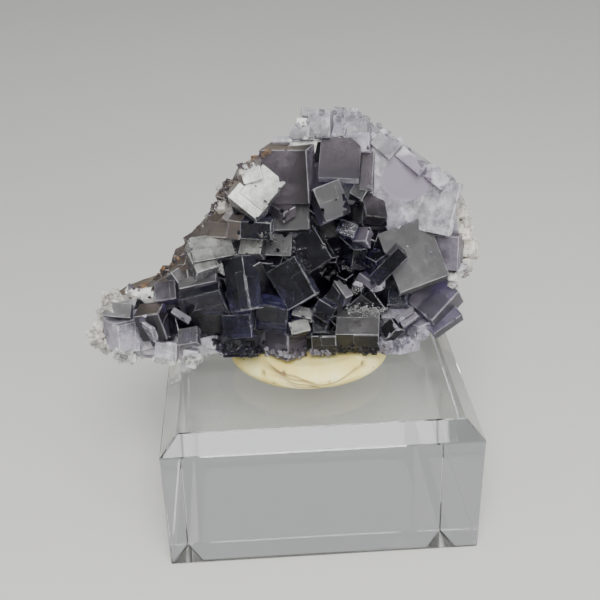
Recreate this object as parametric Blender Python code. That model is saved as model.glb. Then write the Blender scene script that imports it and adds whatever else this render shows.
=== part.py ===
"""Fluorite specimen on its display block, in metres, +Z up, with the front towards -Y.

A cluster of dark violet fluorite cubes grows on a plate of matrix rock. A lump of cream mineral putty
holds the cluster on a clear block with a chamfered top edge. The origin is the middle of the block's
underside. Every size and place below is in millimetres, and becomes metres when a mesh is made.
"""

import math
import random
from collections import namedtuple

import bmesh
import bpy
from mathutils import Matrix, Vector, noise

MM = 0.001

# The display block
BLOCK_SIDE = 50.0
BLOCK_HEIGHT = 24.0
BLOCK_CHAMFER = 2.7

# Clearance between pieces that touch
GAP = 0.3

# The putty: the lower part of a flattened ball, cut level above and below
PUTTY_CENTRE = Vector((-0.6, -4.2, 26.8))
PUTTY_RADII = Vector((13.2, 11.2, 3.6))
PUTTY_TOP = 28.9
PUTTY_WAVE = 0.035
PUTTY_WAVES_ACROSS = 2.3
PUTTY_SEGMENTS = 40
PUTTY_RINGS = 20

# The specimen's face leans back from this point on it
FACE_POINT = Vector((-4.0, -6.0, 46.0))
FACE_LEAN = 10.0

# How thick the fluorite crust and the matrix plate are, behind the face
CRUST_DEPTH = 8.0
CRUST_ROUGHNESS = 0.35
CRUST_SEED = 11
MATRIX_DEPTH = 8.5
MATRIX_ROUGHNESS = 0.5
MATRIX_SEED = 5

# The matrix plate's outline at each part of its depth, as a share of the crust's outline
MATRIX_TAPER = ((0.0, 0.97), (0.35, 0.99), (0.7, 0.93), (1.0, 0.78))
MATRIX_MIDDLE = (305, 250)

# The viewpoint from which the crystals are set out, and the grid that it sees: 600 by 600 squares,
# with x to the right and y down, and (300, 300) straight ahead
EYE = Vector((-8.9, -141.3, 111.6))
SIGHT_AZIMUTH = -2.85
SIGHT_ELEVATION = 28.8
SIGHT_ROLL = -1.37
GRID_FOCAL = 958.7
GRID_MIDDLE = 300.0

# A crystal is a box. Its nearest corner is seen at a grid square, its three edges leave that corner
# in the seen directions, in degrees anticlockwise from the right, and it stands proud of the face.
Crystal = namedtuple("Crystal", "name corner edges size proud")

CRYSTALS = [
    # Upper left: parallel bright squares on a large purple cube
    Crystal("bright_low", (256, 220), (50, 141, 275), (2.9, 5.5, 5.5), 6.6),
    Crystal("bright_high", (262, 211), (50, 141, 275), (5.6, 4.4, 5.6), 6.3),
    Crystal("bright_top", (262, 179), (105, 196, 330), (2.8, 2.8, 3), 5.4),
    Crystal("brown_shoulder", (240, 204), (50, 143, 270), (5.4, 3.1, 3), 2.4),
    Crystal("brown_block", (241, 222), (60, 170, 265), (2.6, 2, 3.1), 4),
    Crystal("purple_wall", (306, 150), (180, 273.5, 37), (7.4, 8.2, 6.7), 4),
    Crystal("grey_back", (309, 229), (182, 91, 310), (5.8, 4.7, 5.8), 2.8),
    Crystal("violet_wedge", (284, 213), (29, 147, 270), (2.4, 3.3, 1.9), 4.2),
    Crystal("dark_brick", (271, 223), (177, 269, 60), (4.7, 2.7, 4.4), 5),
    Crystal("grey_sill", (260, 254), (180, 80, 310), (3.7, 2.7, 2.3), 3.6),
    Crystal("rough_dark", (291, 256), (178, 86, 300), (4.2, 3.5, 4.2), 2.6),
    # Upper middle
    Crystal("purple_block", (359, 179), (177, 86, 275), (6.2, 6.6, 2.3), 4.2),
    Crystal("purple_side", (366, 216), (355, 100, 230), (3.8, 7.4, 2.4), 3),
    Crystal("purple_shoulder", (372, 190), (178, 87, 290), (1.9, 6, 4.2), 3.2),
    Crystal("grey_tablet", (326, 222), (21.5, 112, 212), (4.3, 5.3, 5.3), 6),
    Crystal("dark_nook", (362, 200), (151, 60, 260), (2.2, 2.2, 3), 3.4),
    Crystal("dark_shelf", (362, 223), (175, 80, 300), (3.2, 2.9, 3), 2.8),
    Crystal("dark_roof", (353, 238), (68, 160, 300), (2.2, 3, 3), 4),
    # Left
    Crystal("grey_pair_low", (197, 273), (19, 115, 262), (3.7, 3.7, 3), 5),
    Crystal("grey_pair_high", (195, 262), (10, 105, 250), (6.5, 4.1, 3.7), 4.6),
    Crystal("tall_prism", (250, 309), (191, 98.7, 5), (4, 8.3, 3.5), 7.4),
    Crystal("dark_cube", (219, 290), (194.5, 90, 294.5), (6.4, 1.9, 8.8), 5.6),
    Crystal("step_cube", (216, 281), (192, 91, 300), (6.1, 1.9, 2.9), 3.6),
    Crystal("grey_wall", (176, 298), (190, 95, 330), (3.4, 3, 3), 3.4),
    Crystal("small_square", (197, 342), (190.5, 90, 320), (3.3, 2.8, 1.7), 6),
    Crystal("bright_wedge", (188, 323), (56, 148, 285), (1, 3.2, 1.2), 5.8),
    Crystal("arrow_cube", (158, 314), (187, 65, 290), (4.2, 3.8, 4.9), 4.6),
    Crystal("brown_crystal", (226, 238), (175, 80, 310), (4.2, 2.4, 3.5), 2.4),
    Crystal("white_bump", (224, 209), (180, 80, 310), (1.7, 1.5, 2.3), 0.6),
    # Left end
    Crystal("tip_plate", (130, 318), (175, 84, 320), (4.4, 2.3, 4.4), 2.6),
    Crystal("tip_cube", (118, 326), (158, 14, 274), (4.4, 4.8, 4.5), 3.6),
    Crystal("lilac_cube", (150, 328), (146, 292, 40), (3.2, 3.6, 0.5), 5.2),
    Crystal("lilac_low", (140, 350), (184, 92, 300), (3.8, 3.5, 3.8), 2.6),
    Crystal("pale_rough", (177, 344), (176, 267, 40), (3.4, 2.9, 3.2), 4.4),
    Crystal("pale_corner", (198, 352), (170, 262, 50), (2.3, 2.8, 2.6), 4.6),
    Crystal("tip_end", (106, 345), (168, 75, 310), (2.2, 4.4, 4.3), 1.2),
    Crystal("tip_top", (116, 314), (172, 80, 310), (2.9, 3.5, 3), 1),
    Crystal("tip_nose", (99, 343), (167, 75, 310), (1.8, 3.6, 2), 1.8),
    Crystal("rim_glint", (139, 297), (165, 70, 310), (2.5, 1.3, 3), 1.2),
    Crystal("rim_face", (153, 297), (190, 85, 310), (2.2, 2, 1.9), 1.6),
    Crystal("rim_low", (132, 351), (176, 267, 40), (2.7, 1.8, 3), 2.6),
    # Middle
    Crystal("dark_diamond", (316, 294), (210.5, 120, 20), (5.1, 6.7, 3.5), 6.8),
    Crystal("dark_wedge", (288, 310), (167, 265, 61), (5.1, 4.9, 3.1), 5.6),
    Crystal("ridge_block", (332, 258), (121, 214, 8), (6, 5.3, 3.4), 4.4),
    Crystal("long_ridge", (354, 250), (137, 5, 262), (7.9, 2.3, 3.4), 5.4),
    Crystal("dark_step", (336, 309), (149.5, 240, 50), (3.1, 2.7, 3.1), 5.2),
    Crystal("bright_sliver", (346, 298), (125, 25, 250), (3.6, 1.4, 2.8), 4.4),
    Crystal("bright_chip", (361, 287), (160, 65, 290), (1.6, 0.7, 1.2), 3.8),
    Crystal("dark_hollow", (345, 280), (150, 35, 265), (3, 2.2, 3), 3),
    Crystal("wedge_high", (311, 319), (168, 76, 300), (3.2, 1.7, 3.2), 5.2),
    Crystal("wedge_low", (292, 334), (12, 107, 240), (3.2, 2.1, 3.2), 5.6),
    Crystal("middle_post", (313, 333), (359, 92, 225), (2.7, 3.7, 3.7), 4.6),
    Crystal("fan_low", (376, 262), (38, 152, 275), (2.6, 2.6, 3), 4.2),
    Crystal("fan_high", (366, 241), (180, 75, 300), (2.4, 2.7, 2.1), 3.8),
    # Right
    Crystal("lilac_plate", (431, 222), (185.3, 89, 342.3), (8, 9.2, 2.7), 2.3),
    Crystal("bright_plate", (448, 236), (168.5, 77, 343), (10.5, 8.2, 1), 5.4),
    Crystal("grey_plate", (400, 293), (20.5, 111, 262), (8.1, 9.9, 8.7), 5.6),
    Crystal("dark_bar", (398, 247), (225.5, 316, 110), (6.3, 2.2, 5), 7.0),
    Crystal("lilac_side", (459, 237), (176, 268, 45), (4.3, 5.4, 5.4), 3),
    Crystal("purple_low", (432, 321), (48.5, 141, 300), (6.4, 5.4, 5.2), 4.6),
    Crystal("grey_low", (434, 334), (35, 128, 290), (5.5, 2.4, 2.2), 3.4),
    Crystal("violet_face", (377, 286), (344, 88, 215), (1.5, 2.4, 2.2), 4.6),
    Crystal("violet_ledge", (377, 286), (143, 240, 20), (3.6, 1.2, 2), 4.4),
    Crystal("violet_deep", (407, 305), (178, 86, 300), (3.1, 2.7, 3.1), 3.2),
    Crystal("plank_high", (398, 323), (35, 126, 280), (3.1, 1, 3.1), 5.2),
    Crystal("plank_low", (403, 327), (35, 126, 280), (3, 1, 3), 5),
    # Right edge
    Crystal("right_small", (457, 272), (21, 112, 266), (2.2, 1.1, 3), 2.2),
    Crystal("right_white", (456, 281), (176, 84, 310), (1.4, 1.4, 3), 2),
    Crystal("right_low", (470, 268), (184, 92, 310), (2.5, 1.6, 3), 0.8),
    Crystal("right_middle", (477, 256), (182, 91, 310), (2.8, 2.8, 3), 0.4),
    Crystal("right_step", (471, 238), (191, 100, 320), (2.3, 2.8, 3), 0.8),
    Crystal("right_high", (465, 216), (191, 100, 320), (2.2, 3.1, 3.1), 1),
    Crystal("right_top", (459, 197), (175, 84, 320), (1.7, 2, 3), 1.4),
    # Lower middle and right
    Crystal("frosted_cube", (379, 335), (179, 271, 88), (6.8, 5, 6.5), 5.4),
    Crystal("dark_facet", (397, 329), (222, 116, 350), (2.8, 2.3, 1.9), 5.6),
    Crystal("pale_foot", (400, 340), (12, 172, 270), (5.2, 3.2, 2.4), 4.2),
    Crystal("pale_toe", (386, 343), (30, 160, 270), (2.4, 2.2, 2.3), 4.4),
    Crystal("pale_heel", (418, 327), (20, 150, 265), (2.8, 2.4, 2.4), 3.6),
    Crystal("dark_foot", (336, 336), (181, 272, 90), (3.9, 4.4, 1.3), 4.4),
    Crystal("keel", (288, 334), (17, 163, 270), (4.4, 5.2, 4.6), 4),
    Crystal("blue_mass", (250, 314), (183, 275, 60), (4.4, 3.8, 3), 4.6),
    Crystal("dark_underside", (256, 339), (181, 272, 60), (5.3, 2.9, 4), 4),
    # Top
    Crystal("top_left", (318, 118), (172, 80, 300), (2.8, 1.4, 3), -1),
    Crystal("top_white", (307, 127), (178, 86, 300), (1.7, 1.4, 3), 0),
    Crystal("top_trapezoid", (309, 139), (180, 88, 310), (3, 2.1, 3), 1),
    Crystal("top_low", (290, 142), (180, 75, 310), (3.3, 1, 1.9), 0.6),
    Crystal("top_post", (330, 137), (182, 91, 320), (3.3, 3.9, 3.9), 1.2),
    Crystal("top_ridge", (344, 135), (180, 75, 290), (2.1, 5.3, 1.6), 1),
    Crystal("top_lilac", (367, 133), (188, 96, 320), (3.8, 2.8, 3.8), 0.8),
    Crystal("top_peak", (358, 119), (186, 94, 320), (2.2, 1.7, 3), -0.4),
    Crystal("top_band", (369, 151), (183, 91, 310), (3.9, 2.9, 3.9), 2.2),
    Crystal("slope_high", (389, 159), (50, 141, 275), (3.1, 3.8, 3.8), 2),
    Crystal("slope_middle", (419, 175), (50, 141, 275), (1.9, 4.8, 3), 2.2),
    Crystal("slope_step", (441, 190), (50, 141, 275), (2.2, 3.4, 3), 2.2),
]

# The smaller crystals between them: rows and columns of grid squares, and their sizes and places
FILL_START = (90, 110)
FILL_STEP = 19
FILL_ROWS = 14
FILL_COLUMNS = 21
FILL_SIZE = (2.4, 5.0)
FILL_PROUD = (-1.0, 0.8)
FILL_JITTER = 0.3
FILL_SINKS = (0.0, 1.0, 2.0)

# A small crystal's sides, as shares of its size
SIDE_SPREAD = (0.8, 1.2)

# The small crystals around the crust's edge: how far back from the face they stand, how far that may
# shift, their sizes, and how far in they are set, as a share of the size
RIM_DEPTHS = (0.25, 0.6, 0.95)
RIM_JITTER = 0.12
RIM_SIZE = (1.8, 3.4)
RIM_INSET = (0.1, 0.5)

# How many grid squares they may stand out of the specimen's outline
RIM_REACH = 7

# A small crystal hides a placed one if it is nearer than this share of the way to the eye, within the
# placed one's face and this share of the face's size around it
NEARER = 0.999
FACE_MARGIN = 0.05

# The crust's edge at the face and at its back, as grid squares seen from the viewpoint
FRONT_EDGE = [
    (100, 338), (104, 318), (110, 304), (130, 298), (150, 291), (168, 278), (182, 264), (197, 248),
    (208, 234), (222, 219), (233, 205), (242, 187), (254, 172), (269, 157), (290, 146), (318, 142),
    (345, 138), (370, 146), (396, 156), (424, 170), (446, 186), (454, 206), (460, 230), (464, 252),
    (462, 276), (450, 290), (450, 304), (434, 322), (422, 338), (396, 346), (370, 348), (340, 349),
    (310, 350), (280, 351), (254, 352), (230, 350), (205, 354), (180, 358), (150, 357), (122, 353),
]
BACK_EDGE = [
    (94, 330), (100, 312), (106, 299), (126, 292), (145, 285), (163, 271), (176, 256), (188, 239),
    (201, 221), (215, 207), (226, 189), (238, 169), (256, 156), (276, 146), (297, 124), (312, 112),
    (342, 110), (366, 118), (398, 140), (424, 160), (450, 180), (458, 198), (466, 222), (474, 248),
    (468, 268), (456, 284), (450, 297), (438, 311), (424, 322), (396, 326), (370, 328), (340, 328),
    (310, 330), (280, 332), (254, 332), (230, 332), (205, 338), (180, 344), (150, 346), (118, 344),
]


def sight_axes():
    """The right, up and forward directions of the line of sight."""
    azimuth, elevation, roll = (math.radians(a) for a in (SIGHT_AZIMUTH, SIGHT_ELEVATION, SIGHT_ROLL))
    back = Vector((
        math.sin(azimuth) * math.cos(elevation),
        -math.cos(azimuth) * math.cos(elevation),
        math.sin(elevation),
    ))
    level = Vector((math.cos(azimuth), math.sin(azimuth), 0.0))
    upright = back.cross(level)
    right = level * math.cos(roll) + upright * math.sin(roll)
    up = upright * math.cos(roll) - level * math.sin(roll)
    return right, up, -back


RIGHT, UP, FORWARD = sight_axes()
FACE_NORMAL = Vector((0.0, -math.cos(math.radians(FACE_LEAN)), math.sin(math.radians(FACE_LEAN))))


def seen_at(grid, proud):
    """The point seen at a grid square that stands this far proud of the specimen's face."""
    x = (grid[0] - GRID_MIDDLE) / GRID_FOCAL
    y = (GRID_MIDDLE - grid[1]) / GRID_FOCAL
    ray = RIGHT * x + UP * y + FORWARD
    plane_point = FACE_POINT + FACE_NORMAL * proud
    return EYE + ray * ((plane_point - EYE).dot(FACE_NORMAL) / ray.dot(FACE_NORMAL))


def grid_of(point):
    """The grid square at which a point is seen."""
    away = point - EYE
    depth = away.dot(FORWARD)
    return Vector((
        GRID_MIDDLE + GRID_FOCAL * away.dot(RIGHT) / depth,
        GRID_MIDDLE - GRID_FOCAL * away.dot(UP) / depth,
    ))


def box_edges(corner, seen_degrees):
    """Three square-on directions from a box's nearest corner, from the directions in which they are seen.

    Edges i and j are square if slope_i * slope_j = -cos(angle between them as seen), where a slope is
    how fast an edge runs away from the eye. Three such products give the three slopes.
    """
    forward = (corner - EYE).normalized()
    right = (RIGHT - forward * RIGHT.dot(forward)).normalized()
    up = right.cross(forward)
    angles = [math.radians(d) for d in seen_degrees]
    apart = [math.cos(angles[(i + 1) % 3] - angles[(i + 2) % 3]) for i in range(3)]
    product = apart[0] * apart[1] * apart[2]
    edges = []
    for angle, opposite in zip(angles, apart):
        slope = math.sqrt(-product) / abs(opposite)
        seen = right * math.cos(angle) + up * math.sin(angle)
        edges.append((seen + forward * slope).normalized())
    return edges


def new_object(name, mesh_data, collection):
    """An object whose mesh is made from a bmesh in millimetres."""
    bmesh.ops.scale(mesh_data, vec=(MM, MM, MM), verts=mesh_data.verts)
    mesh = bpy.data.meshes.new(name)
    mesh_data.to_mesh(mesh)
    mesh_data.free()
    made = bpy.data.objects.new(name, mesh)
    collection.objects.link(made)
    return made


def helper(made):
    """Marks an object as a cutter or a shape that another takes in."""
    made.hide_render = True
    made.display_type = "WIRE"
    return made


def box_object(name, corner, edges, size, collection):
    """A box from its corner, its three directions and its three sizes."""
    columns = [edge * length for edge, length in zip(edges, size)]
    middle = corner + sum(columns, Vector()) * 0.5
    matrix = Matrix((columns[0], columns[1], columns[2])).transposed().to_4x4()
    matrix.translation = middle
    cube = bmesh.new()
    bmesh.ops.create_cube(cube, size=1.0, matrix=matrix)
    bmesh.ops.recalc_face_normals(cube, faces=cube.faces)
    return helper(new_object(name, cube, collection))


def in_outline(grid, outline):
    """Whether a grid square lies inside a closed outline."""
    x, y = grid
    inside = False
    for (x0, y0), (x1, y1) in zip(outline, outline[1:] + outline[:1]):
        if (y0 > y) != (y1 > y) and x < x0 + (y - y0) * (x1 - x0) / (y1 - y0):
            inside = not inside
    return inside


def random_box(centre, size, rng):
    """The corner, directions and sizes of a box with this middle, turned at random."""
    axis = Vector([rng.gauss(0, 1) for _ in range(3)])
    turn = Matrix.Rotation(rng.uniform(0, math.tau), 3, axis)
    edges = [turn.col[i].copy() for i in range(3)]
    sides = [size * rng.uniform(*SIDE_SPREAD) for _ in range(3)]
    corner = centre - sum((e * s for e, s in zip(edges, sides)), Vector()) * 0.5
    return corner, edges, sides


def box_corners(corner, edges, sides):
    """The eight corners of a box."""
    return [
        corner + edges[0] * (sides[0] * i) + edges[1] * (sides[1] * j) + edges[2] * (sides[2] * k)
        for i in (0, 1) for j in (0, 1) for k in (0, 1)
    ]


def stands_before(point, boxes):
    """Whether a point hides one of the faces that the boxes turn to the eye."""
    ray = point - EYE
    for corner, edges, sides in boxes:
        for i in range(3):
            j = (i + 1) % 3
            first, second = edges[i] * sides[i], edges[j] * sides[j]
            normal = first.cross(second)
            reach = (corner - EYE).dot(normal) / ray.dot(normal)
            offset = EYE + ray * reach - corner
            along = offset.dot(edges[i]) / sides[i]
            across = offset.dot(edges[j]) / sides[j]
            within = all(-FACE_MARGIN < share < 1 + FACE_MARGIN for share in (along, across))
            if reach > NEARER and within:
                return True
    return False


def fits_behind(box, placed, reach):
    """Whether a box keeps to the outline, but for a reach, and hides none of the placed crystals."""
    for point in box_corners(*box):
        grid = grid_of(point)
        pulled = grid + (Vector(MATRIX_MIDDLE) - grid).normalized() * reach
        if not in_outline(pulled, FRONT_EDGE) and not in_outline(pulled, BACK_EDGE):
            return False
        if stands_before(point, placed):
            return False
    return True


def filling_crystals(placed, rng):
    """Smaller crystals, turned at random, all over the face between the placed ones."""
    filling = []
    for row in range(FILL_ROWS):
        for column in range(FILL_COLUMNS):
            grid = (
                FILL_START[0] + FILL_STEP * (column + (row % 2) / 2 + rng.uniform(-FILL_JITTER, FILL_JITTER)),
                FILL_START[1] + FILL_STEP * (row + rng.uniform(-FILL_JITTER, FILL_JITTER)),
            )
            size = rng.uniform(*FILL_SIZE)
            depth = rng.uniform(*FILL_PROUD)
            turn = random_box(Vector(), size, rng)
            if not in_outline(grid, FRONT_EDGE):
                continue
            for sink in FILL_SINKS:
                centre = seen_at(grid, depth - sink)
                box = (centre + turn[0], turn[1], turn[2])
                if fits_behind(box, placed, 0):
                    filling.append(box)
                    break
    return filling


def rim_crystals(front, back, placed, rng):
    """Small crystals, turned at random, around the crust's edge from its face to its back."""
    middle = sum(front + back, Vector()) / (2 * len(front))
    rim = []
    for near, far in zip(front, back):
        for depth in RIM_DEPTHS:
            place = near.lerp(far, depth + rng.uniform(-RIM_JITTER, RIM_JITTER))
            size = rng.uniform(*RIM_SIZE)
            inward = (middle - place).normalized()
            box = random_box(place + inward * size * rng.uniform(*RIM_INSET), size, rng)
            if fits_behind(box, placed, RIM_REACH):
                rim.append(box)
    return rim


def loft(loops, rng, jitter):
    """A closed bmesh between loops of equal length, each point moved a little, with flat ends."""
    shape = bmesh.new()
    rings = []
    for loop in loops:
        ring = []
        for point in loop:
            shift = Vector([rng.uniform(-jitter, jitter) for _ in range(3)])
            ring.append(shape.verts.new(point + shift))
        rings.append(ring)
    count = len(rings[0])
    for ring, following in zip(rings, rings[1:]):
        for i in range(count):
            j = (i + 1) % count
            shape.faces.new((ring[i], ring[j], following[j], following[i]))
    shape.faces.new(rings[0][::-1])
    shape.faces.new(rings[-1])
    bmesh.ops.triangulate(shape, faces=shape.faces)
    bmesh.ops.recalc_face_normals(shape, faces=shape.faces)
    return shape


def boolean(made, name, operation, other=None, group=None):
    """Adds a Boolean with one object, or with every object of a collection."""
    modifier = made.modifiers.new(name, "BOOLEAN")
    modifier.operation = operation
    if group:
        modifier.operand_type = "COLLECTION"
        modifier.collection = group
    else:
        modifier.object = other


def shells(shape):
    """The separate shells of a bmesh, each as a list of faces."""
    waiting = set(shape.faces)
    found = []
    while waiting:
        shell = []
        edge_of_shell = [waiting.pop()]
        while edge_of_shell:
            face = edge_of_shell.pop()
            shell.append(face)
            for neighbour in {f for e in face.edges for f in e.link_faces} & waiting:
                waiting.remove(neighbour)
                edge_of_shell.append(neighbour)
        found.append(shell)
    return found


def keep_main_body(made):
    """Applies the modifiers and keeps the largest shell, so that no closed pocket is left inside."""
    graph = bpy.context.evaluated_depsgraph_get()
    mesh = bpy.data.meshes.new_from_object(made.evaluated_get(graph))
    made.modifiers.clear()
    made.data = mesh
    shape = bmesh.new()
    shape.from_mesh(mesh)
    found = sorted(shells(shape), key=len)
    for shell in found[:-1]:
        bmesh.ops.delete(shape, geom=shell, context="FACES")
    shape.to_mesh(mesh)
    shape.free()


def material(name, colour, roughness, metallic=0.0, alpha=1.0):
    """A plain Principled material."""
    made = bpy.data.materials.new(name)
    made.use_nodes = True
    shader = made.node_tree.nodes["Principled BSDF"]
    shader.inputs["Base Color"].default_value = (*colour, 1.0)
    shader.inputs["Roughness"].default_value = roughness
    shader.inputs["Metallic"].default_value = metallic
    shader.inputs["Alpha"].default_value = alpha
    return made


def build_block(parts):
    """The clear block: a box with its four top edges chamfered."""
    cube = bmesh.new()
    bmesh.ops.create_cube(cube, size=1.0)
    bmesh.ops.scale(cube, vec=(BLOCK_SIDE, BLOCK_SIDE, BLOCK_HEIGHT), verts=cube.verts)
    bmesh.ops.translate(cube, vec=(0.0, 0.0, BLOCK_HEIGHT / 2), verts=cube.verts)
    top = [e for e in cube.edges if all(v.co.z > BLOCK_HEIGHT / 2 for v in e.verts)]
    bmesh.ops.bevel(cube, geom=top, offset=BLOCK_CHAMFER, segments=1, affect="EDGES")
    block = new_object("acrylic_block", cube, parts)
    block.data.materials.append(material("clear_acrylic", (0.93, 0.95, 0.93), 0.05, alpha=0.35))


def putty_shape(grow):
    """The putty's ball, grown by a clearance, as a bmesh before it is cut level."""
    ball = bmesh.new()
    bmesh.ops.create_uvsphere(ball, u_segments=PUTTY_SEGMENTS, v_segments=PUTTY_RINGS, radius=1.0)
    for vert in ball.verts:
        swell = 1.0 + PUTTY_WAVE * noise.noise(vert.co * PUTTY_WAVES_ACROSS)
        vert.co = Vector([c * swell * (r + grow) for c, r in zip(vert.co, PUTTY_RADII)]) + PUTTY_CENTRE
    return ball


def cut_level(shape, height, keep_above):
    """Cuts a bmesh level at a height and caps it."""
    geometry = shape.verts[:] + shape.edges[:] + shape.faces[:]
    cut = bmesh.ops.bisect_plane(
        shape, geom=geometry, plane_co=(0, 0, height), plane_no=(0, 0, 1),
        clear_inner=keep_above, clear_outer=not keep_above,
    )
    rim = [e for e in cut["geom_cut"] if isinstance(e, bmesh.types.BMEdge)]
    bmesh.ops.holes_fill(shape, edges=rim)
    bmesh.ops.recalc_face_normals(shape, faces=shape.faces)


def build_putty(parts, cutters):
    """The putty, and the grown copy of it that the specimen's underside is cut with."""
    lump = putty_shape(0.0)
    cut_level(lump, BLOCK_HEIGHT + GAP, keep_above=True)
    cut_level(lump, PUTTY_TOP, keep_above=False)
    putty = new_object("mineral_putty", lump, parts)
    putty.data.materials.append(material("cream_putty", (0.86, 0.80, 0.62), 0.45))
    room = putty_shape(GAP)
    cut_level(room, PUTTY_TOP + GAP, keep_above=False)
    return helper(new_object("putty_room", room, cutters))


def matrix_shape(grow):
    """The matrix plate behind the crust, thinner towards its back, or that plate grown by a clearance."""
    middle = seen_at(MATRIX_MIDDLE, -CRUST_DEPTH)
    loops = []
    for depth, scale in MATRIX_TAPER:
        loop = []
        for grid in BACK_EDGE:
            out = seen_at(grid, -CRUST_DEPTH) - middle
            flat = middle + out * scale + out.normalized() * grow
            loop.append(flat - FACE_NORMAL * (GAP - grow + depth * MATRIX_DEPTH))
        loops.append(loop)
    return loft(loops, random.Random(MATRIX_SEED), MATRIX_ROUGHNESS)


def build_specimen(parts, cutters, putty_room):
    """The matrix plate and the fluorite that grows on it."""
    matrix = new_object("matrix_rock", matrix_shape(0.0), parts)
    matrix_room = helper(new_object("matrix_room", matrix_shape(GAP), cutters))
    matrix.data.materials.append(material("matrix", (0.42, 0.36, 0.30), 0.85))
    boolean(matrix, "putty", "DIFFERENCE", putty_room)

    rng = random.Random(CRUST_SEED)
    front = [seen_at(grid, 0.0) for grid in FRONT_EDGE]
    back = [seen_at(grid, -CRUST_DEPTH) for grid in BACK_EDGE]
    halfway = [a.lerp(b, 0.5) for a, b in zip(front, back)]
    crust = new_object("fluorite_crystals", loft([front, halfway, back], rng, CRUST_ROUGHNESS), parts)
    crust.data.materials.append(material("fluorite", (0.12, 0.10, 0.20), 0.12))

    grown = bpy.data.collections.new("grown_crystals")
    cutters.children.link(grown)
    placed = []
    for crystal in CRYSTALS:
        corner = seen_at(crystal.corner, crystal.proud)
        placed.append((corner, box_edges(corner, crystal.edges), crystal.size))
        box_object(crystal.name, *placed[-1], grown)
    for number, box in enumerate(filling_crystals(placed, rng) + rim_crystals(front, back, placed, rng)):
        box_object(f"small_{number}", *box, grown)
    boolean(crust, "crystals", "UNION", group=grown)
    boolean(crust, "putty", "DIFFERENCE", putty_room)
    boolean(crust, "matrix", "DIFFERENCE", matrix_room)
    keep_main_body(crust)


def main():
    for old in list(bpy.data.objects):
        bpy.data.objects.remove(old)
    parts = bpy.data.collections.new("fluorite_specimen")
    cutters = bpy.data.collections.new("cutters")
    for group in (parts, cutters):
        bpy.context.scene.collection.children.link(group)
    build_block(parts)
    putty_room = build_putty(parts, cutters)
    build_specimen(parts, cutters, putty_room)


main()
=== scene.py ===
"""Looks of the fluorite specimen: violet crystals on their rock, cream putty and a clear display block.

Shapes are worked out in millimetres, in the part's own frame, and become metres when a mesh is made.
"""
import math
import random
from collections import namedtuple

import bpy
import numpy as np
from mathutils import Matrix, Vector
from mathutils.bvhtree import BVHTree


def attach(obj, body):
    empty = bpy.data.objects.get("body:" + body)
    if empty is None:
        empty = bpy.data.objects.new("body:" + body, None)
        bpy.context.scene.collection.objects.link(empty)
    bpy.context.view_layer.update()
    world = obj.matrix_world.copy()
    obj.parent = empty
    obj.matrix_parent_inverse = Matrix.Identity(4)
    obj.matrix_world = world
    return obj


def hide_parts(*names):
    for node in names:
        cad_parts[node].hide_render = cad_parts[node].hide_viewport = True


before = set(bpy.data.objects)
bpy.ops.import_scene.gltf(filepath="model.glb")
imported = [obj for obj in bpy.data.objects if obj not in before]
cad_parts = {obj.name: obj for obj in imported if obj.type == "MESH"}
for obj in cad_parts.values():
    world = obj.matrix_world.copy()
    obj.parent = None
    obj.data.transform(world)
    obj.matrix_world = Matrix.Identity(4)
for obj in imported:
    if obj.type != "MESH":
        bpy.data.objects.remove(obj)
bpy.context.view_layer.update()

MM = 0.001

# The display block
BLOCK_SIDE = 50.0
BLOCK_HEIGHT = 24.0
BLOCK_CHAMFER = 2.7
BLOCK_CORNER = 0.35
BLOCK_EASE = 0.16

# The putty: a flattened ball between two levels
PUTTY_CENTRE = (-0.6, -4.2, 26.8)
PUTTY_RADII = (13.2, 11.2, 3.6)
PUTTY_LEVELS = (24.0, 28.9)

# The specimen's face leans back from this point on it
FACE_POINT = Vector((-4.0, -6.0, 46.0))
FACE_LEAN = 10.0
CRUST_DEPTH = 8.0
CRUST_ROUGHNESS = 0.35
CRUST_SHARES = (0.15, 0.3, 0.45, 0.6, 0.72, 0.84)
ROCK_MIDDLE = (305, 250)

# The viewpoint, and the grid of 600 by 600 squares that it sees, on which the crystals are set out
EYE = Vector((-8.9, -141.3, 111.6))
SIGHT_AZIMUTH = -2.85
SIGHT_ELEVATION = 28.8
SIGHT_ROLL = -1.37
GRID_FOCAL = 958.7
GRID_SIZE = 600
GRID_MIDDLE = 300.0
SENSOR = 36.0

# How much of each crystal's edges is worn away
EDGE_WEAR = 0.1

# Fluorite finishes: the colour of the haze, how thick it is where a crystal doesn't say, and how matt. Thick
# white and pale haze is partly the crystal's frost and partly a painted highlight, where faces mirror the key
# light.
FINISHES = {
    "ink": ("242429", 0.05, 0.0),
    "rough": ("1d1d20", 0.95, 0.7),
    "dark": ("464652", 0.1, 0.1),
    "blue": ("3c3c60", 0.12, 0.1),
    "violet": ("736d78", 0.42, 0.5),
    "plum": ("575057", 0.3, 1.0),
    "brown": ("6f645b", 0.55, 0.6),
    "smoke": ("767475", 0.42, 0.9),
    "grey": ("868682", 0.6, 0.3),
    "lilac": ("a5a1ac", 0.75, 0.4),
    "veil": ("c2bec5", 0.75, 0.8),
    "pale": ("c0bdc2", 0.88, 0.3),
    "white": ("e6e7e0", 0.94, 0.15),
    "cream": ("e0dbcf", 0.92, 0.3),
    "rust": ("9a7656", 0.9, 0.8),
}

# A crystal is a box. Its nearest corner is seen at a grid square, its three edges leave that corner
# in the seen directions, in degrees anticlockwise from the right, and it stands proud of the face.
# Frost is how frosted the three near faces are: the one without the first edge, the second, the third. It is
# partly real frost and partly a painted highlight: faces that mirror the key light get thick pale frost,
# which is bright from any side.
# Fade is how much the frost gains from the near end to the far end of each edge, as a share. The finish
# is one for the whole crystal, or one for each of those three faces.
Crystal = namedtuple("Crystal", "corner edges size proud finish frost fade", defaults=(None, None))

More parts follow.
